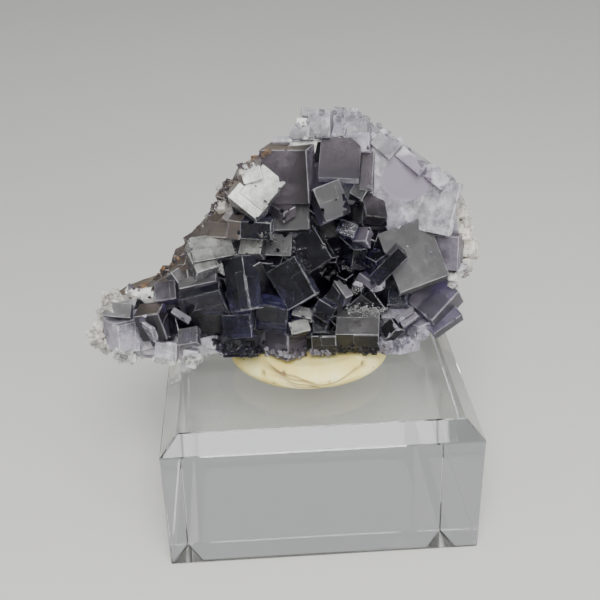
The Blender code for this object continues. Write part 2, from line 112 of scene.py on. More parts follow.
CRYSTALS = {name: Crystal(*row) for name, *row in (
    # Upper left: parallel bright squares on a large purple cube
    ("bright_low", (256, 220), (50, 141, 275), (2.9, 5.5, 5.5), 6.6, "white", (0.2, 0.2, 1)),
    ("bright_high", (262, 211), (50, 141, 275), (5.6, 4.4, 5.6), 6.3, "white", (0.2, 0.2, 0.6)),
    ("bright_top", (262, 179), (105, 196, 330), (2.8, 2.8, 3), 5.4, "white", (0.4, 0.4, 0.9)),
    ("brown_shoulder", (240, 204), (50, 143, 270), (5.4, 3.1, 3), 2.4, "brown", (0.4, 0.4, 0.5)),
    ("brown_block", (241, 222), (60, 170, 265), (2.6, 2, 3.1), 4, "brown"),
    ("purple_wall", (306, 150), (180, 273.5, 37), (7.4, 8.2, 6.7), 4, ("violet", "brown", "plum"),
     (3, 0.8, 0.7), (3, -1.2, 0)),
    ("grey_back", (309, 229), (182, 91, 310), (5.8, 4.7, 5.8), 2.8, "smoke", (0.1, 0.1, 0.2)),
    ("violet_wedge", (284, 213), (29, 147, 270), (2.4, 3.3, 1.9), 4.2, "plum", (0.5, 0.5, 0.5)),
    ("dark_brick", (271, 223), (177, 269, 60), (4.7, 2.7, 4.4), 5, "dark", (0.5, 0.7, 0.08)),
    ("grey_sill", (260, 254), (180, 80, 310), (3.7, 2.7, 2.3), 3.6, "grey", (0.2, 0.2, 0.6)),
    ("rough_dark", (291, 256), (178, 86, 300), (4.2, 3.5, 4.2), 2.6, ("dark", "dark", "smoke"),
     (0.1, 0.1, 0.2)),
    # Upper middle
    ("purple_block", (359, 179), (177, 86, 275), (6.2, 6.6, 2.3), 4.2, ("plum", "pale", "plum"),
     (0.2, 3, 0.5), (0.3, 1.6, 0)),
    ("purple_side", (366, 216), (355, 100, 230), (3.8, 7.4, 2.4), 3, "plum", (0.4, 0.4, 0.6), (0, 1.5, 0)),
    ("purple_shoulder", (372, 190), (178, 87, 290), (1.9, 6, 4.2), 3.2, "plum", (0.6, 0.6, 0.9)),
    ("grey_tablet", (326, 222), (21.5, 112, 212), (4.3, 5.3, 5.3), 6, "smoke", (0.1, 0.1, 0.34)),
    ("dark_nook", (362, 200), (151, 60, 260), (2.2, 2.2, 3), 3.4, "rough", (0.6, 0.6, 0.6)),
    ("dark_shelf", (362, 223), (175, 80, 300), (3.2, 2.9, 3), 2.8, "ink"),
    ("dark_roof", (353, 238), (68, 160, 300), (2.2, 3, 3), 4, "dark"),
    # Left
    ("grey_pair_low", (197, 273), (19, 115, 262), (3.7, 3.7, 3), 5, "grey", (0.2, 0.3, 0.9)),
    ("grey_pair_high", (195, 262), (10, 105, 250), (6.5, 4.1, 3.7), 4.6, "grey", (0.2, 0.2, 0.9)),
    ("tall_prism", (250, 309), (191, 98.7, 5), (4, 8.3, 3.5), 7.4, "dark", (0.35, 0.4, 0.2)),
    ("dark_cube", (219, 290), (194.5, 90, 294.5), (6.4, 1.9, 8.8), 5.6, "dark", (0.1, 0.06, 0.09)),
    ("step_cube", (216, 281), (192, 91, 300), (6.1, 1.9, 2.9), 3.6, "smoke"),
    ("grey_wall", (176, 298), (190, 95, 330), (3.4, 3, 3), 3.4, "violet", (0.2, 0.2, 0.3)),
    ("small_square", (197, 342), (190.5, 90, 320), (3.3, 2.8, 1.7), 6, "grey", (0.3, 0.3, 0.34)),
    ("bright_wedge", (188, 323), (56, 148, 285), (1, 3.2, 1.2), 5.8, "violet", (0.5, 0.5, 0.6)),
    ("arrow_cube", (158, 314), (187, 65, 290), (4.2, 3.8, 4.9), 4.6, ("violet", "violet", "brown"),
     (0.12, 0.12, 0.4)),
    ("brown_crystal", (226, 238), (175, 80, 310), (4.2, 2.4, 3.5), 2.4, "brown"),
    ("white_bump", (224, 209), (180, 80, 310), (1.7, 1.5, 2.3), 0.6, "cream"),
    # Left end
    ("tip_plate", (130, 318), (175, 84, 320), (4.4, 2.3, 4.4), 2.6, "smoke", (0.5, 0.5, 0.6)),
    ("tip_cube", (118, 326), (158, 14, 274), (4.4, 4.8, 4.5), 3.6, "lilac", (0.7, 0.8, 0.7)),
    ("lilac_cube", (150, 328), (146, 292, 40), (3.2, 3.6, 0.5), 5.2, "lilac", (0.65, 0.65, 0.65)),
    ("lilac_low", (140, 350), (184, 92, 300), (3.8, 3.5, 3.8), 2.6, "lilac"),
    ("pale_rough", (177, 344), (176, 267, 40), (3.4, 2.9, 3.2), 4.4, "pale"),
    ("pale_corner", (198, 352), (170, 262, 50), (2.3, 2.8, 2.6), 4.6, "pale"),
    ("tip_end", (106, 345), (168, 75, 310), (2.2, 4.4, 4.3), 1.2, "cream"),
    ("tip_top", (116, 314), (172, 80, 310), (2.9, 3.5, 3), 1, "cream"),
    ("tip_nose", (99, 343), (167, 75, 310), (1.8, 3.6, 2), 1.8, "cream"),
    # rim_glint and rim_face are white: a painted glint along the rim
    ("rim_glint", (139, 297), (165, 70, 310), (2.5, 1.3, 3), 1.2, "white"),
    ("rim_face", (153, 297), (190, 85, 310), (2.2, 2, 1.9), 1.6, "white"),
    ("rim_low", (132, 351), (176, 267, 40), (2.7, 1.8, 3), 2.6, "pale"),
    # Middle
    ("dark_diamond", (316, 294), (210.5, 120, 20), (5.1, 6.7, 3.5), 6.8, "dark", (0.25, 0.4, 0.09)),
    ("dark_wedge", (288, 310), (167, 265, 61), (5.1, 4.9, 3.1), 5.6, "blue", (0.2, 0.45, 0.06)),
    ("ridge_block", (332, 258), (121, 214, 8), (6, 5.3, 3.4), 4.4, "dark"),
    ("long_ridge", (354, 250), (137, 5, 262), (7.9, 2.3, 3.4), 5.4, "dark", (0.1, 0.06, 0.3)),
    ("dark_step", (336, 309), (149.5, 240, 50), (3.1, 2.7, 3.1), 5.2, "dark", (0.1, 0.5, 0.1)),
    ("bright_sliver", (346, 298), (125, 25, 250), (3.6, 1.4, 2.8), 4.4, "smoke", (0.1, 0.1, 0.5)),
    ("bright_chip", (361, 287), (160, 65, 290), (1.6, 0.7, 1.2), 3.8, "pale", (0.5, 0.5, 0.5)),
    ("dark_hollow", (345, 280), (150, 35, 265), (3, 2.2, 3), 3, "ink"),
    ("wedge_high", (311, 319), (168, 76, 300), (3.2, 1.7, 3.2), 5.2, "grey", (0.1, 0.1, 0.5)),
    ("wedge_low", (292, 334), (12, 107, 240), (3.2, 2.1, 3.2), 5.6, "grey", (0.1, 0.1, 0.8)),
    ("middle_post", (313, 333), (359, 92, 225), (2.7, 3.7, 3.7), 4.6, "dark"),
    ("fan_low", (376, 262), (38, 152, 275), (2.6, 2.6, 3), 4.2, "dark"),
    ("fan_high", (366, 241), (180, 75, 300), (2.4, 2.7, 2.1), 3.8, "violet"),
    # Right
    ("lilac_plate", (431, 222), (185.3, 89, 342.3), (8, 9.2, 2.7), 2.3, "pale", (0.8, 0.8, 0.95), (0, 0, 0)),
    ("bright_plate", (448, 236), (168.5, 77, 343), (10.5, 8.2, 1), 5.4, "pale", (0.7, 0.7, 0.85), (0, 0, 0)),
    ("grey_plate", (400, 293), (20.5, 111, 262), (8.1, 9.9, 8.7), 5.6, "smoke", (0.2, 0.3, 0.46)),
    ("dark_bar", (398, 247), (225.5, 316, 110), (6.3, 2.2, 5), 7.0, "dark", (0.1, 0.25, 0.06)),
    ("lilac_side", (459, 237), (176, 268, 45), (4.3, 5.4, 5.4), 3, "violet", (0.5, 0.5, 0.8), (-1.2, 0, 0)),
    ("purple_low", (432, 321), (48.5, 141, 300), (6.4, 5.4, 5.2), 4.6, "violet", (0.28, 0.28, 0.3)),
    ("grey_low", (434, 334), (35, 128, 290), (5.5, 2.4, 2.2), 3.4, "violet", (0.25, 0.25, 0.25)),
    ("violet_face", (377, 286), (344, 88, 215), (1.5, 2.4, 2.2), 4.6, "lilac"),
    ("violet_ledge", (377, 286), (143, 240, 20), (3.6, 1.2, 2), 4.4, "violet"),
    ("violet_deep", (407, 305), (178, 86, 300), (3.1, 2.7, 3.1), 3.2, "blue"),
    ("plank_high", (398, 323), (35, 126, 280), (3.1, 1, 3.1), 5.2, "violet", (0.2, 0.2, 0.5)),
    ("plank_low", (403, 327), (35, 126, 280), (3, 1, 3), 5, "violet", (0.2, 0.2, 0.5)),
    # Right edge
    ("right_small", (457, 272), (21, 112, 266), (2.2, 1.1, 3), 2.2, "pale"),
    ("right_white", (456, 281), (176, 84, 310), (1.4, 1.4, 3), 2, "white"),
    ("right_low", (470, 268), (184, 92, 310), (2.5, 1.6, 3), 0.8, "cream"),
    ("right_middle", (477, 256), (182, 91, 310), (2.8, 2.8, 3), 0.4, "cream"),
    ("right_step", (471, 238), (191, 100, 320), (2.3, 2.8, 3), 0.8, "cream"),
    ("right_high", (465, 216), (191, 100, 320), (2.2, 3.1, 3.1), 1, "cream"),
    ("right_top", (459, 197), (175, 84, 320), (1.7, 2, 3), 1.4, "cream"),
    # Lower middle and right
    ("frosted_cube", (379, 335), (179, 271, 88), (6.8, 5, 6.5), 5.4, ("rough", "smoke", "rough"),
     (1, 0.34, 1.6)),
    ("dark_facet", (397, 329), (222, 116, 350), (2.8, 2.3, 1.9), 5.6, "rough"),
    ("pale_foot", (400, 340), (12, 172, 270), (5.2, 3.2, 2.4), 4.2, "lilac"),
    ("pale_toe", (386, 343), (30, 160, 270), (2.4, 2.2, 2.3), 4.4, "lilac"),
    ("pale_heel", (418, 327), (20, 150, 265), (2.8, 2.4, 2.4), 3.6, "lilac"),
    ("dark_foot", (336, 336), (181, 272, 90), (3.9, 4.4, 1.3), 4.4, "rough", (0.9, 0.9, 1.2)),
    ("keel", (288, 334), (17, 163, 270), (4.4, 5.2, 4.6), 4, "violet", (0.4, 0.3, 0.1)),
    ("blue_mass", (250, 314), (183, 275, 60), (4.4, 3.8, 3), 4.6, "blue"),
    ("dark_underside", (256, 339), (181, 272, 60), (5.3, 2.9, 4), 4, "ink"),
    # Top
    ("top_left", (318, 118), (172, 80, 300), (2.8, 1.4, 3), -1, "pale", (0.6, 0.6, 0.8)),
    ("top_white", (307, 127), (178, 86, 300), (1.7, 1.4, 3), 0, "white"),
    ("top_trapezoid", (309, 139), (180, 88, 310), (3, 2.1, 3), 1, "pale", (0.45, 0.45, 0.55)),
    ("top_low", (290, 142), (180, 75, 310), (3.3, 1, 1.9), 0.6, "pale"),
    ("top_post", (330, 137), (182, 91, 320), (3.3, 3.9, 3.9), 1.2, "pale", (0.4, 0.4, 0.5), (0, 0.9, 0)),
    ("top_ridge", (344, 135), (180, 75, 290), (2.1, 5.3, 1.6), 1, "lilac", (0.6, 0.6, 0.7)),
    ("top_lilac", (367, 133), (188, 96, 320), (3.8, 2.8, 3.8), 0.8, "pale", (0.45, 0.45, 0.55)),
    ("top_peak", (358, 119), (186, 94, 320), (2.2, 1.7, 3), -0.4, "pale"),
    ("top_band", (369, 151), (183, 91, 310), (3.9, 2.9, 3.9), 2.2, "lilac"),
    ("slope_high", (389, 159), (50, 141, 275), (3.1, 3.8, 3.8), 2, "veil"),
    ("slope_middle", (419, 175), (50, 141, 275), (1.9, 4.8, 3), 2.2, "veil"),
    ("slope_step", (441, 190), (50, 141, 275), (2.2, 3.4, 3), 2.2, "veil"),
)}

# The smaller crystals between them: rows and columns of grid squares, and their sizes and places
FILL_START = (90, 110)
FILL_STEP = 19
FILL_ROWS = 14
FILL_COLUMNS = 21
FILL_SIZE = (2.4, 5.0)
FILL_PROUD = (-1.0, 0.8)
FILL_JITTER = 0.3
FILL_SINKS = (0.0, 1.0, 2.0)

# The small crystals around the crust's edge: how far back from the face they stand, and their sizes
RIM_DEPTHS = (0.25, 0.6, 0.95)
RIM_SIZE = (1.8, 3.4)
RIM_REACH = 7
RIM_JITTER = 0.12
RIM_INWARD = (0.1, 0.5)

# How much the sides of a box that is turned at random differ
BOX_SPREAD = (0.8, 1.2)

# A point hides a face if the way to the face is at least this share of the way to the point, and if it is
# seen on the face or no further past its edges than the margin, as a share of a side
HIDING_REACH = 0.999
HIDING_MARGIN = 0.05

# The crust's edge at the face and at its back, as grid squares seen from the viewpoint
FRONT_EDGE = [
    (100, 338), (104, 318), (110, 304), (130, 298), (150, 291), (168, 278), (182, 264), (197, 248),
    (208, 234), (222, 219), (233, 205), (242, 187), (254, 172), (269, 157), (290, 146), (318, 142),
    (345, 138), (370, 146), (396, 156), (424, 170), (446, 186), (454, 206), (460, 230), (464, 252),
    (462, 276), (450, 290), (450, 304), (434, 322), (422, 338), (396, 346), (370, 348), (340, 349),
    (310, 350), (280, 351), (254, 352), (230, 350), (205, 354), (180, 358), (150, 357), (122, 353),
]
BACK_EDGE = [
    (94, 330), (100, 312), (106, 299), (126, 292), (145, 285), (163, 271), (176, 256), (188, 239),
    (201, 221), (215, 207), (226, 189), (238, 169), (256, 156), (276, 146), (297, 124), (312, 112),
    (342, 110), (366, 118), (398, 140), (424, 160), (450, 180), (458, 198), (466, 222), (474, 248),
    (468, 268), (456, 284), (450, 297), (438, 311), (424, 322), (396, 326), (370, 328), (340, 328),
    (310, 330), (280, 332), (254, 332), (230, 332), (205, 338), (180, 344), (150, 346), (118, 344),
]


# The sRGB curve: a share up to the knee is divided by the slope, and one above it is raised to the power
SRGB_KNEE = 0.04045
SRGB_SLOPE = 12.92
SRGB_OFFSET = 0.055
SRGB_POWER = 2.4


def colour(code):
    """A linear colour from a hexadecimal one: each share is raised as the sRGB curve says."""
    shares = np.array([int(code[i:i + 2], 16) for i in (0, 2, 4)]) / 255
    raised = ((shares + SRGB_OFFSET) / (1 + SRGB_OFFSET)) ** SRGB_POWER
    return np.where(shares <= SRGB_KNEE, shares / SRGB_SLOPE, raised)


def opaque(code):
    """The same colour for a socket, which takes a fourth number."""
    return (*colour(code), 1.0)


# Places


def sight_axes():
    """The right, up and forward directions of the line of sight."""
    azimuth, elevation, roll = (math.radians(a) for a in (SIGHT_AZIMUTH, SIGHT_ELEVATION, SIGHT_ROLL))
    back = Vector((
        math.sin(azimuth) * math.cos(elevation),
        -math.cos(azimuth) * math.cos(elevation),
        math.sin(elevation),
    ))
    level = Vector((math.cos(azimuth), math.sin(azimuth), 0.0))
    upright = back.cross(level)
    right = level * math.cos(roll) + upright * math.sin(roll)
    up = upright * math.cos(roll) - level * math.sin(roll)
    return right, up, -back


RIGHT, UP, FORWARD = sight_axes()
FACE_NORMAL = Vector((0.0, -math.cos(math.radians(FACE_LEAN)), math.sin(math.radians(FACE_LEAN))))


def seen_at(grid, proud):
    """The point seen at a grid square that stands this far proud of the specimen's face."""
    x = (grid[0] - GRID_MIDDLE) / GRID_FOCAL
    y = (GRID_MIDDLE - grid[1]) / GRID_FOCAL
    ray = RIGHT * x + UP * y + FORWARD
    plane_point = FACE_POINT + FACE_NORMAL * proud
    return EYE + ray * ((plane_point - EYE).dot(FACE_NORMAL) / ray.dot(FACE_NORMAL))


def grid_of(point):
    """The grid square at which a point is seen."""
    away = point - EYE
    depth = away.dot(FORWARD)
    return Vector((
        GRID_MIDDLE + GRID_FOCAL * away.dot(RIGHT) / depth,
        GRID_MIDDLE - GRID_FOCAL * away.dot(UP) / depth,
    ))


def box_edges(corner, seen_degrees):
    """Three square-on directions from a box's nearest corner, from the directions in which they are seen.

    Edges i and j are square if slope_i * slope_j = -cos(angle between them as seen), where a slope is
    how fast an edge runs away from the eye. Three such products give the three slopes.
    """
    forward = (corner - EYE).normalized()
    right = (RIGHT - forward * RIGHT.dot(forward)).normalized()
    up = right.cross(forward)
    angles = [math.radians(d) for d in seen_degrees]
    apart = [math.cos(angles[(i + 1) % 3] - angles[(i + 2) % 3]) for i in range(3)]
    product = apart[0] * apart[1] * apart[2]
    edges = []
    for angle, opposite in zip(angles, apart):
        slope = math.sqrt(-product) / abs(opposite)
        seen = right * math.cos(angle) + up * math.sin(angle)
        edges.append((seen + forward * slope).normalized())
    return edges


def on_face(crystal, axis, grid):
    """The point seen at a grid square on the plane of a crystal's near face that hasn't this edge."""
    corner = seen_at(crystal.corner, crystal.proud)
    normal = box_edges(corner, crystal.edges)[axis]
    ray = seen_at(grid, 0.0) - EYE
    return EYE + ray * ((corner - EYE).dot(normal) / ray.dot(normal))


def in_outline(grid, outline):
    """Whether a grid square lies inside a closed outline."""
    x, y = grid
    inside = False
    for (x0, y0), (x1, y1) in zip(outline, outline[1:] + outline[:1]):
        if (y0 > y) != (y1 > y) and x < x0 + (y - y0) * (x1 - x0) / (y1 - y0):
            inside = not inside
    return inside


def box_diagonal(edges, sides):
    """The step from a box's corner to the opposite corner."""
    return sum((e * s for e, s in zip(edges, sides)), Vector())


def random_box(centre, size, rng):
    """The corner, directions and sizes of a box with this middle, turned at random."""
    axis = Vector([rng.gauss(0, 1) for _ in range(3)])
    turn = Matrix.Rotation(rng.uniform(0, math.tau), 3, axis)
    edges = [turn.col[i].copy() for i in range(3)]
    sides = [size * rng.uniform(*BOX_SPREAD) for _ in range(3)]
    return centre - box_diagonal(edges, sides) * 0.5, edges, sides


def box_corners(corner, edges, sides):
    """The eight corners of a box."""
    return [
        corner + edges[0] * (sides[0] * i) + edges[1] * (sides[1] * j) + edges[2] * (sides[2] * k)
        for i in (0, 1) for j in (0, 1) for k in (0, 1)
    ]


def stands_before(point, boxes):
    """Whether a point hides one of the faces that the boxes turn to the eye."""
    ray = point - EYE
    for corner, edges, sides in boxes:
        for i in range(3):
            j = (i + 1) % 3
            first, second = edges[i] * sides[i], edges[j] * sides[j]
            normal = first.cross(second)
            reach = (corner - EYE).dot(normal) / ray.dot(normal)
            offset = EYE + ray * reach - corner
            shares = [offset.dot(edges[n]) / sides[n] for n in (i, j)]
            seen_on = all(-HIDING_MARGIN < share < 1 + HIDING_MARGIN for share in shares)
            if reach > HIDING_REACH and seen_on:
                return True
    return False


def fits_behind(box, placed, reach):
    """Whether a box keeps to the outline, but for a reach, and hides none of the placed crystals."""
    for point in box_corners(*box):
        grid = grid_of(point)
        pulled = grid + (Vector(ROCK_MIDDLE) - grid).normalized() * reach
        if not in_outline(pulled, FRONT_EDGE) and not in_outline(pulled, BACK_EDGE):
            return False
        if stands_before(point, placed):
            return False
    return True


def filling_crystals(placed, rng):
    """Smaller crystals, turned at random, all over the face between the placed ones."""
    filling = []
    for row in range(FILL_ROWS):
        for column in range(FILL_COLUMNS):
            across = column + 0.5 * (row % 2) + rng.uniform(-FILL_JITTER, FILL_JITTER)
            down = row + rng.uniform(-FILL_JITTER, FILL_JITTER)
            grid = (FILL_START[0] + FILL_STEP * across, FILL_START[1] + FILL_STEP * down)
            size = rng.uniform(*FILL_SIZE)
            depth = rng.uniform(*FILL_PROUD)
            turn = random_box(Vector(), size, rng)
            if not in_outline(grid, FRONT_EDGE):
                continue
            for sink in FILL_SINKS:
                centre = seen_at(grid, depth - sink)
                box = (centre + turn[0], turn[1], turn[2])
                if fits_behind(box, placed, 0):
                    filling.append(box)
                    break
    return filling


def rim_crystals(front, back, placed, rng):
    """Small crystals, turned at random, around the crust's edge from its face to its back."""
    middle = sum(front + back, Vector()) / (2 * len(front))
    rim = []
    for near, far in zip(front, back):
        for depth in RIM_DEPTHS:
            place = near.lerp(far, depth + rng.uniform(-RIM_JITTER, RIM_JITTER))
            size = rng.uniform(*RIM_SIZE)
            inward = (middle - place).normalized()
            box = random_box(place + inward * size * rng.uniform(*RIM_INWARD), size, rng)
            if fits_behind(box, placed, RIM_REACH):
                rim.append(box)
    return rim


# Meshes


# How many lattice cells the noise runs for before it comes round again
LATTICE = 32


def lattice_noise(points, width, seed):
    """Smooth noise from -1 to 1: random values on a lattice of this width, eased from one to the next."""
    table = np.random.default_rng(seed).uniform(-1, 1, (LATTICE,) * 3)
    place = points / width
    cell = np.floor(place).astype(int)
    ease = place - cell
    ease = ease * ease * (3 - 2 * ease)
    total = np.zeros(points.shape[:-1])
    for corner in np.ndindex(2, 2, 2):
        index = (cell + corner) % LATTICE
        share = np.prod(np.where(np.array(corner) == 1, ease, 1 - ease), axis=-1)
        total += share * table[index[..., 0], index[..., 1], index[..., 2]]
    return total


def layered_noise(points, layers):
    """The sum of lattice noises, each given by its height, its width and its seed."""
    return sum(height * lattice_noise(points, width, seed) for height, width, seed in layers)


def place_mesh(name, points, faces):
    """An object from points in millimetres."""
    mesh = bpy.data.meshes.new(name)
    mesh.from_pydata((np.asarray(points) * MM).tolist(), [], faces)
    made = bpy.data.objects.new(name, mesh)
    bpy.context.scene.collection.objects.link(made)
    return made


def ring_mesh(name, rings):
    """A closed surface through rings of points: quads between the rings, and a fan to the middle of each end.

    The faces are turned round if the volume that they hold comes out below zero.
    """
    count, around = rings.shape[:2]
    points = np.concatenate([rings.reshape(-1, 3), rings[:1].mean(axis=1), rings[-1:].mean(axis=1)])
    ring, step = np.meshgrid(np.arange(count - 1), np.arange(around), indexing="ij")
    here, beside = ring * around + step, ring * around + (step + 1) % around
    quads = np.stack([here, beside, beside + around, here + around], axis=-1).reshape(-1, 4)
    turn = np.arange(around)
    after = (turn + 1) % around
    last = (count - 1) * around
    first_fan = np.stack([after, turn, np.full(around, count * around)], axis=-1)
    last_fan = np.stack([last + turn, last + after, np.full(around, count * around + 1)], axis=-1)
    first, second, third, fourth = (points[quads[:, i]] for i in range(4))
    volume = np.sum(np.cross(first, second) * third + np.cross(first, third) * fourth)
    if volume < 0:
        quads, first_fan, last_fan = quads[:, ::-1], first_fan[:, ::-1], last_fan[:, ::-1]
    return place_mesh(name, points, quads.tolist() + first_fan.tolist() + last_fan.tolist())


# A box's eight corners, as shares of its sides, and the most of its least side that a bevel may take
BOX_BITS = np.array(list(np.ndindex(2, 2, 2)))
BEVEL_LIMIT = 0.3


def box_skin():
    """The faces of a box with bevelled edges, each point named by its corner and the axis of its face.

    Point 3 * corner + axis lies on the face across that axis. Six faces, twelve bevels and eight corners
    are walked round outwards: the turn of the first three points has to point away from the middle.
    """
    out = BEVEL_LIMIT * (2 * BOX_BITS - 1)
    points = np.stack([BOX_BITS - 0.5 + out * np.eye(3)[a] for a in range(3)], axis=1).reshape(-1, 3)
    number = {tuple(b): i for i, b in enumerate(BOX_BITS.tolist())}
    faces = [[3 * corner + a for a in range(3)] for corner in range(8)]
    for axis in range(3):
        j, k = (axis + 1) % 3, (axis + 2) % 3
        for side in (0, 1):
            ring = []
            for along, across in ((0, 0), (1, 0), (1, 1), (0, 1)):
                bit = [0, 0, 0]
                bit[axis], bit[j], bit[k] = side, along, across
                ring.append(3 * number[tuple(bit)] + axis)
            faces.append(ring)
            for other in (0, 1):
                near, far = [0, 0, 0], [0, 0, 0]
                near[j] = far[j] = side
                near[k] = far[k] = other
                far[axis] = 1
                near, far = number[tuple(near)], number[tuple(far)]
                faces.append([3 * near + j, 3 * far + j, 3 * far + k, 3 * near + k])
    outward = []
    for face in faces:
        a, b, c = points[face[:3]]
        away = np.dot(np.cross(b - a, c - a), points[face].mean(axis=0)) > 0
        outward.append(face if away else face[::-1])
    return outward


BOX_SKIN = box_skin()


def box_mesh(name, box, bevel):
    """A box with bevelled edges: each corner's three points are drawn in along their own face."""
    corner, edges, sides = (np.array(part) for part in box)
    bevel = min(bevel, BEVEL_LIMIT * sides.min())
    inset = bevel * (1 - 2 * BOX_BITS)
    local = np.stack([BOX_BITS * sides + inset * (1 - np.eye(3)[axis]) for axis in range(3)], axis=1)
    points = corner + local.reshape(-1, 3) @ edges
    mirrored = np.linalg.det(edges) < 0
    return place_mesh(name, points, [face[::-1] if mirrored else face for face in BOX_SKIN])


def combine(base, operation, others):
    """Joins the other solids to the base, or takes them out of it, and removes them."""
    group = bpy.data.collections.new("helpers")
    for other in others:
        group.objects.link(other)
    modifier = base.modifiers.new("combine", "BOOLEAN")
    modifier.operation = operation
    modifier.operand_type = "COLLECTION"
    modifier.collection = group
    modifier.solver = "MANIFOLD"
    mesh = bpy.data.meshes.new_from_object(base.evaluated_get(bpy.context.evaluated_depsgraph_get()))
    base.modifiers.clear()
    base.data = mesh
    for other in others:
        bpy.data.objects.remove(other)
    bpy.data.collections.remove(group)


# Crystals

# The seeds of the crust with the small crystals, of the steps with the chips, and of the wear
CRUST_SEED = 11
STEP_SEED = 23
WEAR_SEED = 8

# Grown steps on the larger faces, and chips out of their edges
STEP_FACE = 2.6
STEP_RISE = (0.05, 0.14)
STEP_WEAR = 0.03
STEP_REACH = (0.35, 0.85)
STEP_INSET = 0.12
CHIP_SIZE = (0.35, 0.8)
CHIP_PLACES = (0.1, 0.9)

# The crystals whose faces have no grown steps
WHOLE = (
    "purple_wall", "bright_low", "bright_high", "lilac_plate", "bright_plate", "grey_plate", "purple_block",
    "slope_high", "slope_middle", "slope_step", "small_square", "violet_wedge",
)

# Pits in the bright faces: the crystal, the grid square and the size
PITS = (
    ("bright_plate", (414, 222), 0.5), ("bright_plate", (425, 231), 0.4), ("bright_plate", (440, 208), 0.25),
    ("bright_high", (252, 183), 0.4), ("bright_high", (256, 186), 0.3), ("bright_low", (262, 206), 0.25),
    ("grey_plate", (408, 246), 0.3), ("grey_tablet", (336, 200), 0.3), ("grey_tablet", (345, 197), 0.8),
    ("grey_tablet", (348, 205), 1.1), ("grey_tablet", (351, 211), 0.9), ("grey_plate", (432, 252), 0.3),
    ("grey_plate", (396, 262), 0.25), ("purple_block", (342, 159), 0.2), ("purple_wall", (288, 182), 0.2),
    ("rough_dark", (270, 240), 0.5), ("rough_dark", (285, 235), 0.7), ("rough_dark", (278, 250), 0.5),
)

# A face whose cosine with its crystal's side is less than this is a bevel, and is worn. Bevels are lightened
# and frosted: partly wear, partly a painted highlight along the crystal's edges.
BEVEL_TURN = 0.97
BEVEL_WORN_GLINT_FROST = (0.0, 0.4)
BEVEL_WORN_GLINT_COLOUR = "c4c4c8"
BEVEL_WORN_GLINT_SHARE = 0.4

# How far a crystal's haze fades from one side to the other, and between which shares of it
FADE = 0.7
FADE_LIMITS = (0.2, 2.0)

# Finishes of the small crystals and the crust: a grid square, how many squares its patch reaches, and the
# finish there. Between the patches they are dark.
PATCHES = (
    ((98, 335), 24, "cream"), ((122, 300), 24, "cream"), ((158, 284), 18, "brown"), ((182, 260), 18, "brown"),
    ((200, 236), 18, "brown"), ((222, 209), 18, "brown"), ((240, 180), 20, "brown"), ((262, 156), 14, "rust"),
    ((300, 128), 26, "white"), ((345, 118), 30, "pale"), ((385, 140), 26, "pale"), ((420, 168), 26, "pale"),
    ((450, 196), 26, "pale"), ((472, 225), 22, "cream"), ((474, 256), 20, "cream"), ((458, 282), 18, "white"),
    ((446, 312), 20, "smoke"), ((406, 338), 28, "lilac"), ((345, 346), 30, "rough"),
    ((285, 350), 30, "violet"), ((240, 348), 22, "rough"), ((195, 354), 26, "pale"), ((150, 352), 28, "pale"),
    ((125, 332), 30, "lilac"), ((165, 300), 18, "smoke"), ((400, 190), 40, "lilac"), ((412, 214), 30, "pale"),
    ((350, 165), 30, "violet"), ((285, 172), 28, "violet"), ((215, 240), 20, "smoke"),
    ((190, 280), 18, "smoke"), ((440, 250), 24, "lilac"), ((420, 300), 24, "violet"), ((310, 270), 30, "ink"),
    ((350, 265), 30, "ink"), ((345, 215), 24, "ink"), ((355, 192), 16, "ink"),
)
PATCH_RAGGED = 0.15


def finish_at(grid, rng):
    """The finish of the patch that a grid square lies deepest in, with a little chance in how deep."""
    deepest, finish = 1.0, "dark"
    for (x, y), reach, name in PATCHES:
        depth = math.hypot(grid[0] - x, grid[1] - y) / reach + rng.uniform(-PATCH_RAGGED, PATCH_RAGGED)
        if depth < deepest:
            deepest, finish = depth, name
    return finish


def grown_steps(box, rng):
    """Thin steps on a crystal's three near faces, each over a share of the face, square to its edges."""
    corner, edges, sides = box
    steps = []
    for axis in range(3):
        j, k = (axis + 1) % 3, (axis + 2) % 3
        if min(sides[j], sides[k]) < STEP_FACE:
            continue
        for _ in range(rng.choice((0, 1, 1))):
            low = [0.0, 0.0, 0.0]
            size = [0.0, 0.0, 0.0]
            low[axis] = -rng.uniform(*STEP_RISE)
            size[axis] = 1.0
            for side in (j, k):
                size[side] = sides[side] * rng.uniform(*STEP_REACH)
                room = sides[side] - 2 * STEP_INSET - size[side]
                low[side] = STEP_INSET + max(room, 0.0) * rng.choice((0, 0, 1))
            steps.append((corner + box_diagonal(edges, low), edges, size))
    return steps


def edge_chips(box, rng):
    """Boxes turned at random that sit on a crystal's near edges, to be taken out of it."""
    corner, edges, sides = box
    chips = []
    for axis in range(3):
        other = edges[(axis + rng.choice((1, 2))) % 3]
        far = rng.choice((0, 1))
        place = corner + edges[axis] * (sides[axis] * rng.uniform(*CHIP_PLACES))
        place += other * (far * sides[edges.index(other)])
        chips.append(random_box(place, rng.uniform(*CHIP_SIZE), rng))
    return chips


def crust_mesh(front, back, rng):
    """The crust: rings through its front edge, its back edge and halfway, with each point moved a little.

    The front ring, drawn in by shares towards its middle, cuts the crust's face into small facets.
    """
    halfway = [a.lerp(b, 0.5) for a, b in zip(front, back)]
    rings = []
    for loop in (front, halfway, back):
        shifts = [[rng.uniform(-CRUST_ROUGHNESS, CRUST_ROUGHNESS) for _ in range(3)] for _ in loop]
        rings.append(np.array([tuple(point) for point in loop]) + np.array(shifts))
    rings = np.array(rings)
    middle = rings[0].mean(axis=0)
    inner = middle + (rings[0] - middle) * np.array(CRUST_SHARES)[:, None, None]
    return ring_mesh("fluorite_cluster", np.concatenate([inner, rings]))


def read_all(items, field, width, kind=float):
    """A row of this many values for each item of a mesh."""
    values = np.empty(len(items) * width, dtype=kind)
    items.foreach_get(field, values)
    return values.reshape(-1, width)


